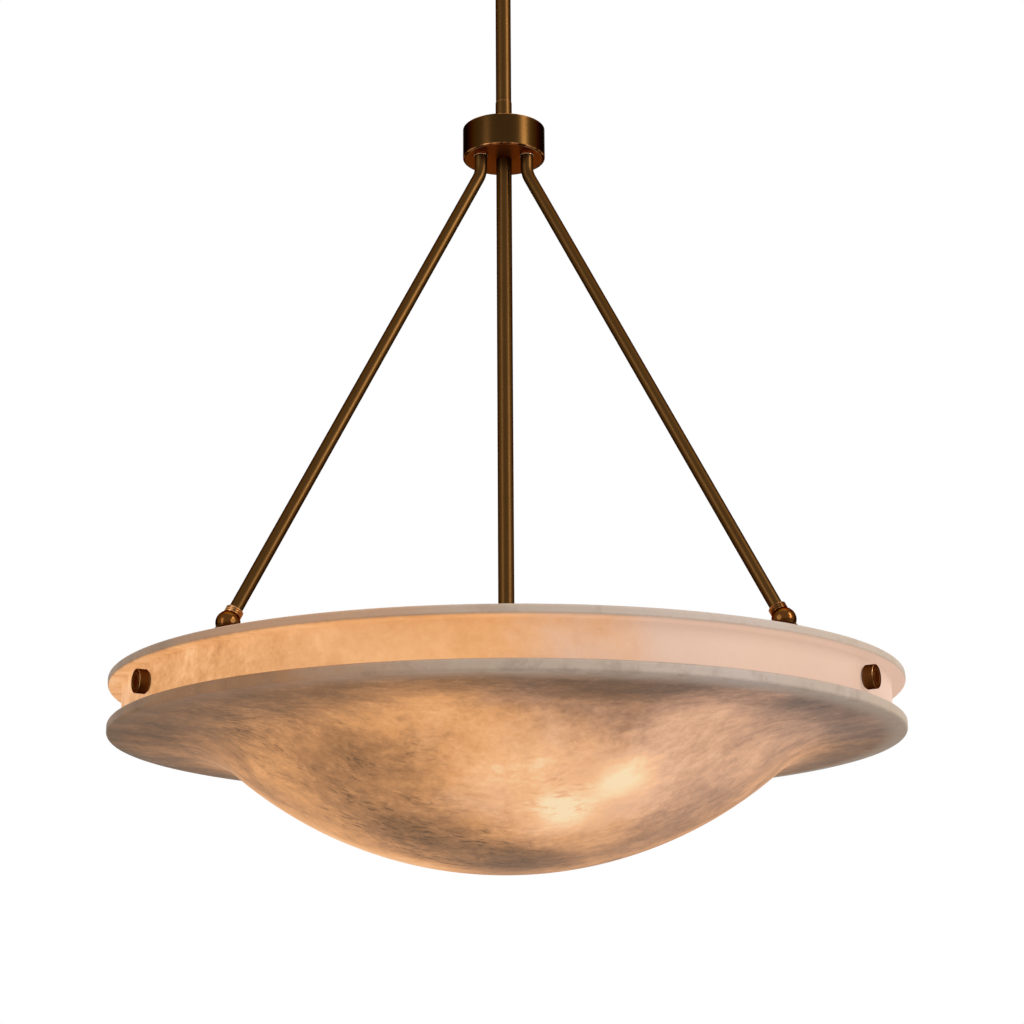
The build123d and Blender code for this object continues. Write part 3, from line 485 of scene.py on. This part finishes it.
for number, azimuth in enumerate(arm_azimuths, start=1):
    tube = bent_tube(f"arm_tube_{number}", route, azimuth, outer=6.35, inner=4.85)
    finished(tube, "pendant", "aged_brass", tube_brass, f"arm_{number}")
    collar = turned(f"hub_collar_{number}", rounded([
        (-424, 6.4, 0), (-424, 7.1, 0.2), (-426, 7.1, 0.35), (-426, 6.4, 0)], steps=4),
        centre=root_radius * outwards(azimuth), segments=64)
    finished(collar, "pendant", "bright_brass", polished_and_highlit_collar_brass, f"arm_collar_{number}")

# ---------------------------------------------------------------- arm feet
# Each arm ends in a collar of three beads and a polished round knuckle, slotted for a flat bracket that
# a cross pin holds. The bracket reaches down inside the rim to a round pad against the stone.

dark_brass = metal("dark_brass", (0.115, 0.05, 0.014), (0.085, 0.036, 0.009), (0.5, 0.26, 0.11), 0.34, 0.2,
                   (0.24, 0.15, 0.09))
soft_washer = coating("soft_washer", (0.03, 0.03, 0.03), (0.02, 0.02, 0.02), 0.6)

bead_rows = rounded([
    (collar_start, 6.4, 0), (collar_start, 8.55, 0.8), (10.2, 8.55, 0.8), (10.2, 7.85, 0.2),
    (10.7, 7.85, 0.2), (10.7, 8.55, 0.75), (12.3, 8.55, 0.75), (12.3, 7.85, 0.2), (12.8, 7.85, 0.2),
    (12.8, 8.55, 0.8), (14.5, 8.55, 0.8), (14.5, 6.4, 0)])
beads = []
for number, azimuth in enumerate(arm_azimuths, start=1):
    out = outwards(azimuth)
    foot = foot_radius * out + np.array((0, 0, foot_z))
    up_arm = -(run[0] * out + np.array((0, 0, run[1])))
    beads.append(turned(f"foot_bead_{number}", bead_rows, centre=foot, axis=up_arm, segments=64))
    knuckle = softened(f"knuckle_{number}", 0.00025)
    finished(knuckle, "pendant", "bright_brass", bright_brass, f"knuckle_{number}")
    bracket = softened(f"bracket_{number}", 0.0006)
    finished(bracket, "pendant", "dark_brass", dark_brass, f"bracket_{number}")
for bead in beads:
    finished(bead, "pendant", "bright_brass", bright_brass)
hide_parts("foot_collars")
dress("knuckle_pins", dark_brass)
dress("clamp_studs", zinc)
dress("bracket_washers", soft_washer)

# ---------------------------------------------------------------- knobs
# Plain turned cap nuts of dark bronzed brass clamp the band of the bowl from outside, each on a thin
# soft washer. A fine ring is cut into each knob's face.

knob_middle = (0, 0, -1000.05)


def side_wander(along, across, t):
    """A 0.02 mm wander round the knob's side. The rows nearer its axis stay as they are."""
    return across + np.where(across > 10, 0.02 * np.sin(5 * t), 0)


knob_rows = rounded([
    (379, 0, 0), (379, 6.5, 0.2), (378.75, 7.0, 0.2), (379, 7.5, 0.2), (379, 11, 0.6), (369.5, 11, 0.6),
    (369.5, 3.08, 0.2), (377.5, 3.08, 0), (377.5, 0, 0)], loop=False)
seal_rows = rounded([(368, 3.08, 0), (368, 9.5, 0.3), (369.5, 9.5, 0.3), (369.5, 3.08, 0)])
for number, azimuth in enumerate(arm_azimuths, start=1):
    out = outwards(azimuth)
    knob = turned(f"clamp_knob_{number}", knob_rows, knob_middle, out, loop=False, wave=side_wander)
    finished(knob, f"knob_{number}", "dark_brass", dark_brass, f"knob_{number}")
    ring = turned(f"knob_seal_{number}", seal_rows, knob_middle, out, segments=64)
    finished(ring, f"knob_washer_{number}", "washer_rubber", soft_washer, f"knob_washer_{number}")

# ---------------------------------------------------------------- alabaster bowl
# One block of honed alabaster, turned to a 14 mm wall: a lip, a recessed band, a second lip and a round bowl
# that meets the lip's sloping underside in a hollow curve. The light soaking through the stone is painted on
# as a glow in its colour and emission, warm where it is clear and near the lamps, and grey where it is cloudy
# or under painted shade from the lip.

rim_radius = 381.0
band_radius = 367.7
inner_radius = 353.7
rim_z = -973
band_top_z = -982.5
band_foot_z = -1017.6
lip_foot_z = -1028.1
pole_z = -1152.6
slope = np.radians(6.5)
sphere_radius = 406.51
sphere_z = pole_z + sphere_radius
hollow_radius = 95.0
wall = 14.0


def slope_height(across):
    """Height of the lip's sloping underside at a radius."""
    return lip_foot_z - (rim_radius - across) * np.tan(slope)


# The hollow curve's middle lies its radius below the sloping face and its radius outside the sphere.
# So it is on a line of that slope, which crosses the axis at axis_level from the sphere's middle, and
# its distance x from the axis solves square * x * x + 2 * linear * x + axis_level**2 = reach**2.
axis_level = slope_height(0.0) - hollow_radius / np.cos(slope) - sphere_z
reach = sphere_radius + hollow_radius
square = 1 + np.tan(slope) ** 2
linear = axis_level * np.tan(slope)
root = np.sqrt(linear * linear - square * (axis_level * axis_level - reach * reach))
hollow_across = (root - linear) / square
hollow_z = sphere_z + axis_level + hollow_across * np.tan(slope)
meet = np.degrees(np.arcsin(hollow_across / reach))


def bowl_curve(radius, hollow, steps=70):
    """Rows from the pole along the sphere, then along the hollow curve up to the sloping face."""
    angle = np.radians(np.linspace(0, meet, steps))
    ball = np.column_stack((sphere_z - radius * np.cos(angle), radius * np.sin(angle), 0 * angle))
    angle = np.radians(np.linspace(meet, np.degrees(slope), 28))[1:]
    curve_z, curve_across = hollow_z + hollow * np.cos(angle), hollow_across - hollow * np.sin(angle)
    return np.vstack((ball, np.column_stack((curve_z, curve_across, 0 * angle))))


outside = bowl_curve(sphere_radius, hollow_radius)
inside = bowl_curve(sphere_radius - wall, hollow_radius + wall)
ledge_z = slope_height(inner_radius) + wall / np.cos(slope)
lips = rounded([
    (outside[-1, 0], outside[-1, 1], 0), (lip_foot_z, rim_radius, 3), (band_foot_z, rim_radius, 3),
    (band_foot_z, band_radius, 1.5), (band_top_z, band_radius, 1.5), (band_top_z, rim_radius, 3),
    (rim_z, rim_radius, 3), (rim_z, inner_radius, 3), (ledge_z, inner_radius, 6),
    (inside[-1, 0], inside[-1, 1], 0)], loop=False, steps=7)
bowl_rows = np.vstack((outside[:-1], lips, inside[::-1][1:]))


def hand_finish(along, across, t):
    """Stone ground by hand wanders from a true circle by a few tenths of a millimetre. It is set in by
    as much, so that it stays within the rim's radius. Both grow as the square of the radius."""
    share = np.clip(across / rim_radius, 0, 1) ** 2
    return across + share * (0.25 * np.sin(3 * t + 0.02 * along) + 0.15 * np.sin(7 * t + 1.3)) - 0.4 * share


bowl = turned("stone_bowl", bowl_rows, loop=False, segments=288, wave=hand_finish)

# The three clamp holes are drilled through the band.
drill_rows = [(330, 0, 0), (330, 4.5, 0), (400, 4.5, 0), (400, 0, 0)]
drills = [turned(f"drill_{number}", drill_rows, knob_middle, outwards(azimuth), loop=False, segments=32)
          for number, azimuth in enumerate(arm_azimuths)]
for drill in drills:
    drill.modifiers.clear()
    hole = bowl.modifiers.new("clamp hole", "BOOLEAN")
    hole.operation = "DIFFERENCE"
    hole.solver = "EXACT"
    hole.object = drill
bowl.modifiers.move(0, len(bowl.modifiers) - 1)
bpy.context.view_layer.update()
drilled = bpy.data.meshes.new_from_object(bowl.evaluated_get(bpy.context.evaluated_depsgraph_get()))
bowl.modifiers.clear()
bowl.data = drilled
for drill in drills:
    bpy.data.objects.remove(drill)

alabaster = bpy.data.materials.new("alabaster")
alabaster.use_nodes = True
tree = alabaster.node_tree
stone = tree.nodes["Principled BSDF"]
where = node(tree, "ShaderNodeTexCoord").outputs["Object"]
across, deep, up = node(tree, "ShaderNodeSeparateXYZ", (0, where)).outputs
squares = calc(tree, "ADD", calc(tree, "MULTIPLY", across, across), calc(tree, "MULTIPLY", deep, deep))
radius = calc(tree, "SQRT", squares)

# Banks of cloud, curds, drifts drawn out from side to side along the bed, and short ragged flecks.
wander = node(tree, "ShaderNodeTexNoise", ("Vector", where), ("Scale", 7.0), ("Detail", 4.0)).outputs["Color"]
sway = node(tree, "ShaderNodeVectorMath", (0, wander), (1, (0.5, 0.5, 0.5)), operation="SUBTRACT").outputs[0]
sway = node(tree, "ShaderNodeVectorMath", (0, sway), (1, (0.06, 0.05, 0.05)), operation="MULTIPLY").outputs[0]
bent = node(tree, "ShaderNodeVectorMath", (0, where), (1, sway), operation="ADD").outputs[0]
banks = noise(tree, bent, 8.0, 8.0, 0.55)
curds = noise(tree, bent, 34.0, 9.0, 0.68)
drifts = noise(tree, stretch(tree, bent, (10.0, 30.0, 15.0)), 1.0, 9.0, 0.64)
fans = noise(tree, stretch(tree, bent, (16.0, 44.0, 26.0), (0, 0, 12)), 1.0, 9.0, 0.7)
fibre = noise(tree, stretch(tree, bent, (75.0, 230.0, 150.0)), 1.0, 5.0, 0.62)
veil = noise(tree, stretch(tree, bent, (70.0, 120.0, 95.0)), 1.0, 7.0, 0.7)
mottle = noise(tree, where, 170.0, 5.0, 0.72)


def spot(centre, inner, outer, along=bent):
    """Falls smoothly from 1 within the inner distance of a place to 0 at the outer one."""
    apart = node(tree, "ShaderNodeVectorMath", (0, along), (1, centre), operation="DISTANCE").outputs["Value"]
    return ease(tree, apart, outer, inner)


def ramp(value, *stops):
    """Runs through the colours of its (value, colour) stops."""
    band = node(tree, "ShaderNodeValToRGB", (0, value))
    elements = band.color_ramp.elements
    while len(elements) < len(stops):
        elements.new(0.5)
    for stop, (place, tone) in zip(elements, stops):
        stop.position = place
        stop.color = colour(*tone)
    return band.outputs[0]


# Short dark flecks crowd in the cloudy stone low on the left, and are thin elsewhere.
patches = noise(tree, stretch(tree, bent, (14.0, 22.0, 18.0), shift=(3, 0, 0)), 1.0, 5.0)
crowd = spot((-0.13, -0.15, -1.1), 0.03, 0.15)
for place, outer in (((-0.05, -0.09, -1.14), 0.12), ((-0.22, -0.17, -1.05), 0.11), ((0.05, -0.2, -1.1), 0.07)):
    crowd = calc(tree, "MAXIMUM", crowd, spot(place, 0.01, outer))
flecks = calc(tree, "MULTIPLY", ease(tree, fibre, 0.5, 0.66), ease(tree, patches, 0.4, 0.6))
flecks = calc(tree, "MULTIPLY", flecks, calc(tree, "MULTIPLY_ADD", crowd, 0.85, 0.15))

# How strongly the painted lamp glow shows. The stone between the lips and the bowl's round get painted glow,
# and the lips' undersides painted shade. Then come painted glows round the lamps, painted shade, and the
# clearer and cloudier banks, each as place, inner and outer reach, and how much it adds or takes away.
between_lips = calc(tree, "MULTIPLY", ease(tree, up, -1.0190, -1.0160), ease(tree, up, -0.9795, -0.9824))
on_band = calc(tree, "MULTIPLY", between_lips, ease(tree, radius, 0.345, 0.350))
on_lip = calc(tree, "MULTIPLY", ease(tree, radius, 0.352, 0.38), calc(tree, "SUBTRACT", 1.0, between_lips))
glow = calc(tree, "MULTIPLY_ADD", on_band, 0.54, ease(tree, radius, 0.352, 0.262, 0.14, 0.5))
painted_glow_and_shade_spots = (
    ((0.080, -0.175, -1.105), 0.01, 0.13, 0.2),
    ((0.01, -0.23, -1.08), 0.02, 0.09, 0.2),
    ((-0.06, -0.25, -1.06), 0.02, 0.12, 0.07),
    ((-0.24, -0.14, -1.045), 0.01, 0.06, -0.12),
    ((0.10, 0.17, -1.10), 0.01, 0.16, 0.34),
    ((-0.19, 0.05, -1.105), 0.03, 0.12, 0.32),
    ((-0.10, 0.05, -1.14), 0.03, 0.11, 0.25),
    ((-0.22, -0.13, -1.065), 0.01, 0.05, 0.12),
    ((-0.31, -0.08, -1.035), 0.02, 0.1, -0.12),
    ((-0.13, -0.18, -1.09), 0.01, 0.13, -0.18),
    ((-0.08, -0.10, -1.13), 0.01, 0.085, -0.24),
    ((0.01, -0.06, -1.15), 0.01, 0.09, -0.33),
    ((0.15, -0.06, -1.12), 0.01, 0.1, -0.18),
    ((0.08, -0.285, -1.03), 0.01, 0.13, -0.12),
    ((-0.07, -0.315, -1.03), 0.02, 0.08, 0.14),
    ((0.18, -0.26, -1.026), 0.01, 0.09, 0.19),
)
for place, inner, outer, share in painted_glow_and_shade_spots:
    glow = calc(tree, "MULTIPLY_ADD", spot(place, inner, outer), share, glow)
# Two round painted hot spots, where the lamps shine through the stone most.
for place, outer in (((0.101, -0.190, -1.091), 0.048), ((0.049, -0.164, -1.116), 0.052)):
    glow = calc(tree, "MULTIPLY_ADD", spot(place, 0.0, outer, where), 0.34, glow)

# Clouds and rays stir the painted glow, more at the band's left end than along the rest of it, and less where
# the two round painted lamp glows are. The flecks darken it.
clear = stir(tree, 0.0, banks, 0.4)
for cloud, share in ((curds, 0.52), (drifts, 0.34), (veil, 0.3), (mottle, 0.22)):
    clear = stir(tree, clear, cloud, share)
rays = calc(tree, "MULTIPLY", calc(tree, "SUBTRACT", fans, 0.5), spot((0.10, -0.2, -1.08), 0.03, 0.16))
clear = calc(tree, "MULTIPLY_ADD", rays, 0.6, clear)
band_cloud = ease(tree, across, -0.1, -0.28, -0.45, 0.5)
clear = calc(tree, "MULTIPLY", clear, calc(tree, "MULTIPLY_ADD", on_band, band_cloud, 1.0))
near_lamp = spot((0.075, -0.177, -1.104), 0.03, 0.08, where)
clear = calc(tree, "MULTIPLY", clear, ease(tree, near_lamp, 0, 1, 1, 0.5))
glow = calc(tree, "ADD", glow, clear)
glow = calc(tree, "MULTIPLY_ADD", flecks, ease(tree, on_band, 0.0, 1.0, -0.25, -0.04), glow)

# Colour of the stone and its painted glow, dark brown where the glow is weak and cream where it is strong,
# with brown cloud to the left and the back, paler and pinker to the front right.
pale_side = ease(tree, stir(tree, across, banks, 0.5), -0.06, 0.2)
pale_side = calc(tree, "MULTIPLY", pale_side, ease(tree, deep, -0.14, 0.02, 1.0, 0.15))
lit = ramp(glow, (0.0, (0.17, 0.09, 0.042)), (0.2, (0.3, 0.147, 0.062)), (0.4, (0.52, 0.245, 0.1)),
           (0.6, (0.78, 0.37, 0.142)), (0.8, (0.96, 0.51, 0.23)), (1.0, (1.0, 0.77, 0.48)))
cool = tint(tree, 1.0, lit, colour(0.95, 1.17, 1.95), "MULTIPLY")
cooled = calc(tree, "MULTIPLY", pale_side, ease(tree, glow, 0.6, 0.95, 0.8, 0.0))
stone_and_glow_tone = tint(tree, cooled, lit, cool)

# The lips are brown at the left end and a greyer beige from the middle on, partly the stone's tone and partly
# painted shade, which darkens them towards both ends. The upper one is a little paler, and warmer left of the
# middle. The band turns rosy to the right, and fine pale mottling covers the whole.
along_lip = stir(tree, calc(tree, "MULTIPLY_ADD", across, 1.312, 0.5), drifts, 0.5)
lip_tone = ramp(along_lip, (0.0, (0.22, 0.13, 0.068)), (0.25, (0.43, 0.22, 0.11)), (0.5, (0.46, 0.35, 0.265)),
                (0.75, (0.46, 0.37, 0.315)), (1.0, (0.42, 0.32, 0.235)))
lip_tone = tint(tree, ease(tree, curds, 0.48, 0.66, 0.0, 0.35), lip_tone, colour(0.24, 0.17, 0.125))
upper_lip = ease(tree, up, -1.0, -0.985)
warm_end = calc(tree, "MULTIPLY", ease(tree, across, 0.0, -0.15, 0.0, 0.6), ease(tree, across, -0.32, -0.22))
lip_tone = tint(tree, calc(tree, "MULTIPLY", upper_lip, warm_end), lip_tone, colour(0.66, 0.33, 0.16))
lip_tone = tint(tree, calc(tree, "MULTIPLY", upper_lip, 0.25), lip_tone, colour(0.62, 0.49, 0.39))
rosy = ease(tree, stir(tree, across, banks, 0.3), -0.03, 0.13, 0.0, 0.85)
stone_and_glow_tone = tint(tree, calc(tree, "MULTIPLY", rosy, on_band), stone_and_glow_tone, colour(0.72, 0.5, 0.39))
stone_and_glow_tone = tint(tree, on_lip, stone_and_glow_tone, lip_tone)
stone_and_glow_tone = tint(tree, ease(tree, mottle, 0.52, 0.8, 0.0, 0.12), stone_and_glow_tone, colour(0.78, 0.62, 0.44))

# The share of that colour which is painted lamp glow, given as emission; the rest is base colour lit from the
# room.
painted_glow_share = calc(tree, "MULTIPLY", ease(tree, glow, 0.0, 0.6, 0.3, 0.74), ease(tree, on_lip, 0.0, 1.0, 1.0, 0.25))
dark = colour(0.0, 0.0, 0.0)
# Painted glow: that share is taken out of the base colour and given back as emission.
tree.links.new(tint(tree, painted_glow_share, stone_and_glow_tone, dark), stone.inputs["Base Color"])
tree.links.new(tint(tree, painted_glow_share, dark, stone_and_glow_tone), stone.inputs["Emission Color"])
stone.inputs["Emission Strength"].default_value = 1.0
stone.inputs["IOR"].default_value = 1.52
stone.inputs["Specular IOR Level"].default_value = 0.12
tree.links.new(calc(tree, "MULTIPLY_ADD", banks, 0.25, 0.34), stone.inputs["Roughness"])
pits = calc(tree, "MULTIPLY_ADD", mottle, 0.6, noise(tree, where, 35.0, 5.0))
bump = node(tree, "ShaderNodeBump", ("Distance", 0.0004), ("Height", calc(tree, "SUBTRACT", pits, flecks)))
tree.links.new(bump.outputs[0], stone.inputs["Normal"])
finished(bowl, "pendant", "alabaster", alabaster, "alabaster_bowl")

# ---------------------------------------------------------------- lamp stem and cluster
# A second length of tube drops from the hub to a turned cluster body in the bowl. A cover with a
# small turned finial closes it from below, and the lamp cable runs down inside the tubes.

lower_tube = turned("lower_tube", rounded([
    (-424, 5.05, 0), (-424, 7.95, 0.35), (-1000, 7.95, 0.35), (-1000, 6.45, 0), (-436, 6.45, 0),
    (-436, 5.05, 0)]))
finished(lower_tube, "pendant", "aged_brass", tube_brass, "lamp_stem")
dress("lamp_cable", cable_jacket)

cluster = turned("cluster_cup", rounded([
    (-988, 3.5, 0), (-988, 6.4, 0.4), (-1000, 6.4, 0), (-1000, 24, 1.5), (-1036, 24, 0.3), (-1036, 22, 0.2),
    (-1003, 22, 0.5), (-1003, 3.5, 0)]))
finished(cluster, "pendant", "aged_brass", aged_brass, "cluster_body")
cover = turned("cluster_plate", rounded([
    (-1036, 3.05, 0), (-1039, 3.05, 0), (-1039, 24, 1.2), (-1036, 24, 0.2), (-1036, 21.95, 0),
    (-1031, 21.95, 0.3), (-1031, 20, 0.3), (-1036, 20, 0)]))
finished(cover, "pendant", "aged_brass", aged_brass, "cluster_cover")
finial = turned("cluster_button", np.vstack((
    [(-1036, 0, 0), (-1036, 3, 0), (-1039, 3, 0)],
    rounded([(-1039, 3, 0), (-1039, 8, 0.4), (-1040.4, 8, 0.4), (-1040.8, 6.9, 0.3)], loop=False)[1:],
    [(-1039 - 8 * np.cos(q), 8 * np.sin(q), 0) for q in np.radians(np.linspace(62, 0, 12))])), loop=False)
finished(finial, "pendant", "aged_brass", aged_brass, "cluster_finial")

# ---------------------------------------------------------------- lamps and their sockets
# Three porcelain screw sockets in brass shells stand round the cluster, dipping a little. Each holds
# a round frosted lamp with a threaded metal cap, which screws out along its own axis.

porcelain = coating("porcelain", (0.84, 0.82, 0.76), (0.78, 0.75, 0.68), 0.18, 300.0, 0.00001, Coat_Weight=0.5)
shell_brass = metal("shell_brass", (0.5, 0.34, 0.13), (0.28, 0.17, 0.06), (0.8, 0.62, 0.36), 0.26)
cap_metal = metal("cap_metal", (0.6, 0.59, 0.57), (0.42, 0.41, 0.39), (0.85, 0.84, 0.82), 0.28)
black_glass = coating("black_glass", (0.012, 0.011, 0.012), (0.02, 0.018, 0.018), 0.15, 300.0, 0.00001)

frosted = coating("frosted_lamp", (0.42, 0.36, 0.27), (0.4, 0.33, 0.24), 0.42, 700.0, 0.00002)
tree = frosted.node_tree
shader = tree.nodes["Principled BSDF"]
where = node(tree, "ShaderNodeTexCoord").outputs["Object"]
haze = noise(tree, where, 45.0, 4.0)
warm = tint(tree, ease(tree, haze, 0.3, 0.7), colour(1.0, 0.68, 0.36), colour(1.0, 0.76, 0.46))
tree.links.new(warm, shader.inputs["Emission Color"])
shader.inputs["Emission Strength"].default_value = 0.62

dress("socket_nipples", zinc)
dress("socket_contacts", shell_brass)
dress("socket_cores", porcelain)

lamp_azimuths = (300.0, 60.0, 180.0)
lamp_dip = np.radians(10)
cluster_middle = (0, 0, -1018.0)
cap_radius = 13.05
cap_end = 75.9
thread_pitch = 3.63
thread_depth = 0.55
neck_radius = 13.4
neck_length = 5.0
globe_radius = 30.0
globe_middle = 54.0
glass_wall = 0.8


def screw_thread(along, across, t):
    """A rolled thread: the radius dips by depth x (1 - cos(turns)) / 2, where turns grow by one circle
    to the pitch, faded out over the last two millimetres at both ends."""
    fade = np.clip((along - 55.5) / 2, 0, 1) * np.clip((74.0 - along) / 2, 0, 1)
    dip = thread_depth / 2 * (1 - np.cos(2 * np.pi * along / thread_pitch - t)) * fade
    return np.where(across > 12.5, across - dip, across)


def globe_rows(shrink):
    """A lamp's outline: a short neck, a cone that touches the globe, and the globe to its pole."""
    neck, globe = neck_radius - shrink, globe_radius - shrink
    gap = globe_middle - neck_length
    swing = np.arctan2(neck, gap) + np.arccos(globe / np.hypot(neck, gap))
    angle = np.linspace(swing, np.pi, 46)
    ball = np.column_stack((cap_end + globe_middle - globe * np.cos(angle), globe * np.sin(angle), 0 * angle))
    return np.vstack(([(cap_end + shrink, neck, 0), (cap_end + neck_length, neck, 0)], ball))


thread_run = np.linspace(54.2, 75.2, 130)
lamp_cap_rows = np.vstack((
    [(51.8, 0, 0)], rounded([(51.8, 0, 0), (51.8, 4.5, 0.8), (53.3, 4.5, 0)], loop=False)[1:],
    [(53.3, 9.5, 0)], [(54.0, 12.2, 0)],
    np.column_stack((thread_run, np.full(130, cap_radius), np.zeros(130))),
    rounded([(cap_end, cap_radius, 0.4), (cap_end, 0, 0)], loop=False)))
sleeve_rows = rounded([
    (28, 5.05, 0), (28, 17, 1.2), (43.2, 17, 0.3), (43.7, 16.6, 0.3), (44.6, 16.6, 0.3), (45.1, 17, 0.3),
    (74, 17, 0.4), (74, 16, 0.3), (29.5, 16, 0.5), (29.5, 5.05, 0)])
lamp_seal_rows = rounded([(52.9, 4.6, 0), (52.9, 6.5, 0.3), (53.9, 11.2, 0.4), (53.9, 4.6, 0)])
glass_rows = np.vstack((globe_rows(0), globe_rows(glass_wall)[::-1]))

for number, azimuth in enumerate(lamp_azimuths, start=1):
    axis = np.cos(lamp_dip) * outwards(azimuth) - np.array((0, 0, np.sin(lamp_dip)))
    place = (cluster_middle, axis)
    shell = turned(f"socket_sleeve_{number}", sleeve_rows, *place)
    finished(shell, "pendant", "contact_brass", shell_brass, f"socket_shell_{number}")
    cap = turned(f"lamp_cap_{number}", lamp_cap_rows, *place, loop=False, segments=72, wave=screw_thread)
    finished(cap, f"lamp_{number}", "lamp_cap_metal", cap_metal, f"lamp_base_{number}")
    seal = turned(f"lamp_seal_{number}", lamp_seal_rows, *place, segments=64)
    finished(seal, f"lamp_{number}", "lamp_cap_metal", black_glass)
    globe = turned(f"lamp_globe_{number}", glass_rows, *place)
    finished(globe, f"lamp_{number}", "frosted_glass", frosted, f"lamp_glass_{number}")

# ---------------------------------------------------------------- studio
# A pale floor well below the bowl, a white surround, and soft lamps from the front right, the front
# left and above. The camera looks up at the bowl from in front and below it.

ground_z = -1.62
ground_half = 20
ground = [(x * ground_half, y * ground_half, ground_z) for x, y in ((-1, -1), (1, -1), (1, 1), (-1, 1))]
floor_mesh = bpy.data.meshes.new("floor")
floor_mesh.from_pydata(ground, [], [(0, 1, 2, 3)])
floor = bpy.data.objects.new("floor", floor_mesh)
bpy.context.scene.collection.objects.link(floor)
floor_mesh.materials.append(coating("pale_floor", (0.8, 0.8, 0.8), (0.78, 0.78, 0.78), 0.7, 60.0))

world = bpy.data.worlds.new("studio")
bpy.context.scene.world = world
world.use_nodes = True
tree = world.node_tree
tree.nodes.clear()
path = node(tree, "ShaderNodeLightPath").outputs
seen = calc(tree, "MAXIMUM", path["Is Glossy Ray"], path["Is Transmission Ray"])
seen = calc(tree, "MAXIMUM", path["Is Camera Ray"], seen)
soft = node(tree, "ShaderNodeBackground", ("Color", colour(1, 1, 1)), ("Strength", 0.24))
white = node(tree, "ShaderNodeBackground", ("Color", colour(1, 1, 1)), ("Strength", 1.0))
both = node(tree, "ShaderNodeMixShader", (0, seen), (1, soft.outputs[0]), (2, white.outputs[0]))
node(tree, "ShaderNodeOutputWorld", (0, both.outputs[0]))


def soft_lamp(name, place, aim, width, height, power):
    """A soft box that faces a point."""
    light = bpy.data.lights.new(name, "AREA")
    light.shape = "RECTANGLE"
    light.size = width
    light.size_y = height
    light.energy = power
    holder = bpy.data.objects.new(name, light)
    holder.location = place
    direction = np.array(aim, float) - np.array(place, float)
    turn = np.arctan2(direction[1], direction[0])
    drop = np.arctan2(np.hypot(direction[0], direction[1]), -direction[2])
    holder.rotation_euler = (drop, 0, turn - np.pi / 2)
    bpy.context.scene.collection.objects.link(holder)


soft_lamp("key", (3.0, -1.8, 0.7), (0, 0, -0.7), 0.85, 2.6, 118)
soft_lamp("fill", (-2.7, -2.4, -0.2), (0, 0, -0.8), 1.0, 2.6, 38)
soft_lamp("top", (0.2, 0.5, 2.0), (0, 0, -0.9), 2.8, 2.8, 36)

lens = bpy.data.cameras.new("camera")
lens.sensor_width = 36.0
lens.lens = 80.75
camera = bpy.data.objects.new("camera", lens)
camera.location = (0.0061, -2.195, -1.3686)
camera_pitch = mathutils.Matrix.Rotation(np.radians(90 + 14.56), 3, "X")
camera_roll = mathutils.Matrix.Rotation(np.radians(-0.35), 3, "Z")
camera.rotation_euler = (camera_pitch @ camera_roll).to_euler()
bpy.context.scene.collection.objects.link(camera)
bpy.context.scene.camera = camera
bpy.context.scene.view_settings.view_transform = "Standard"
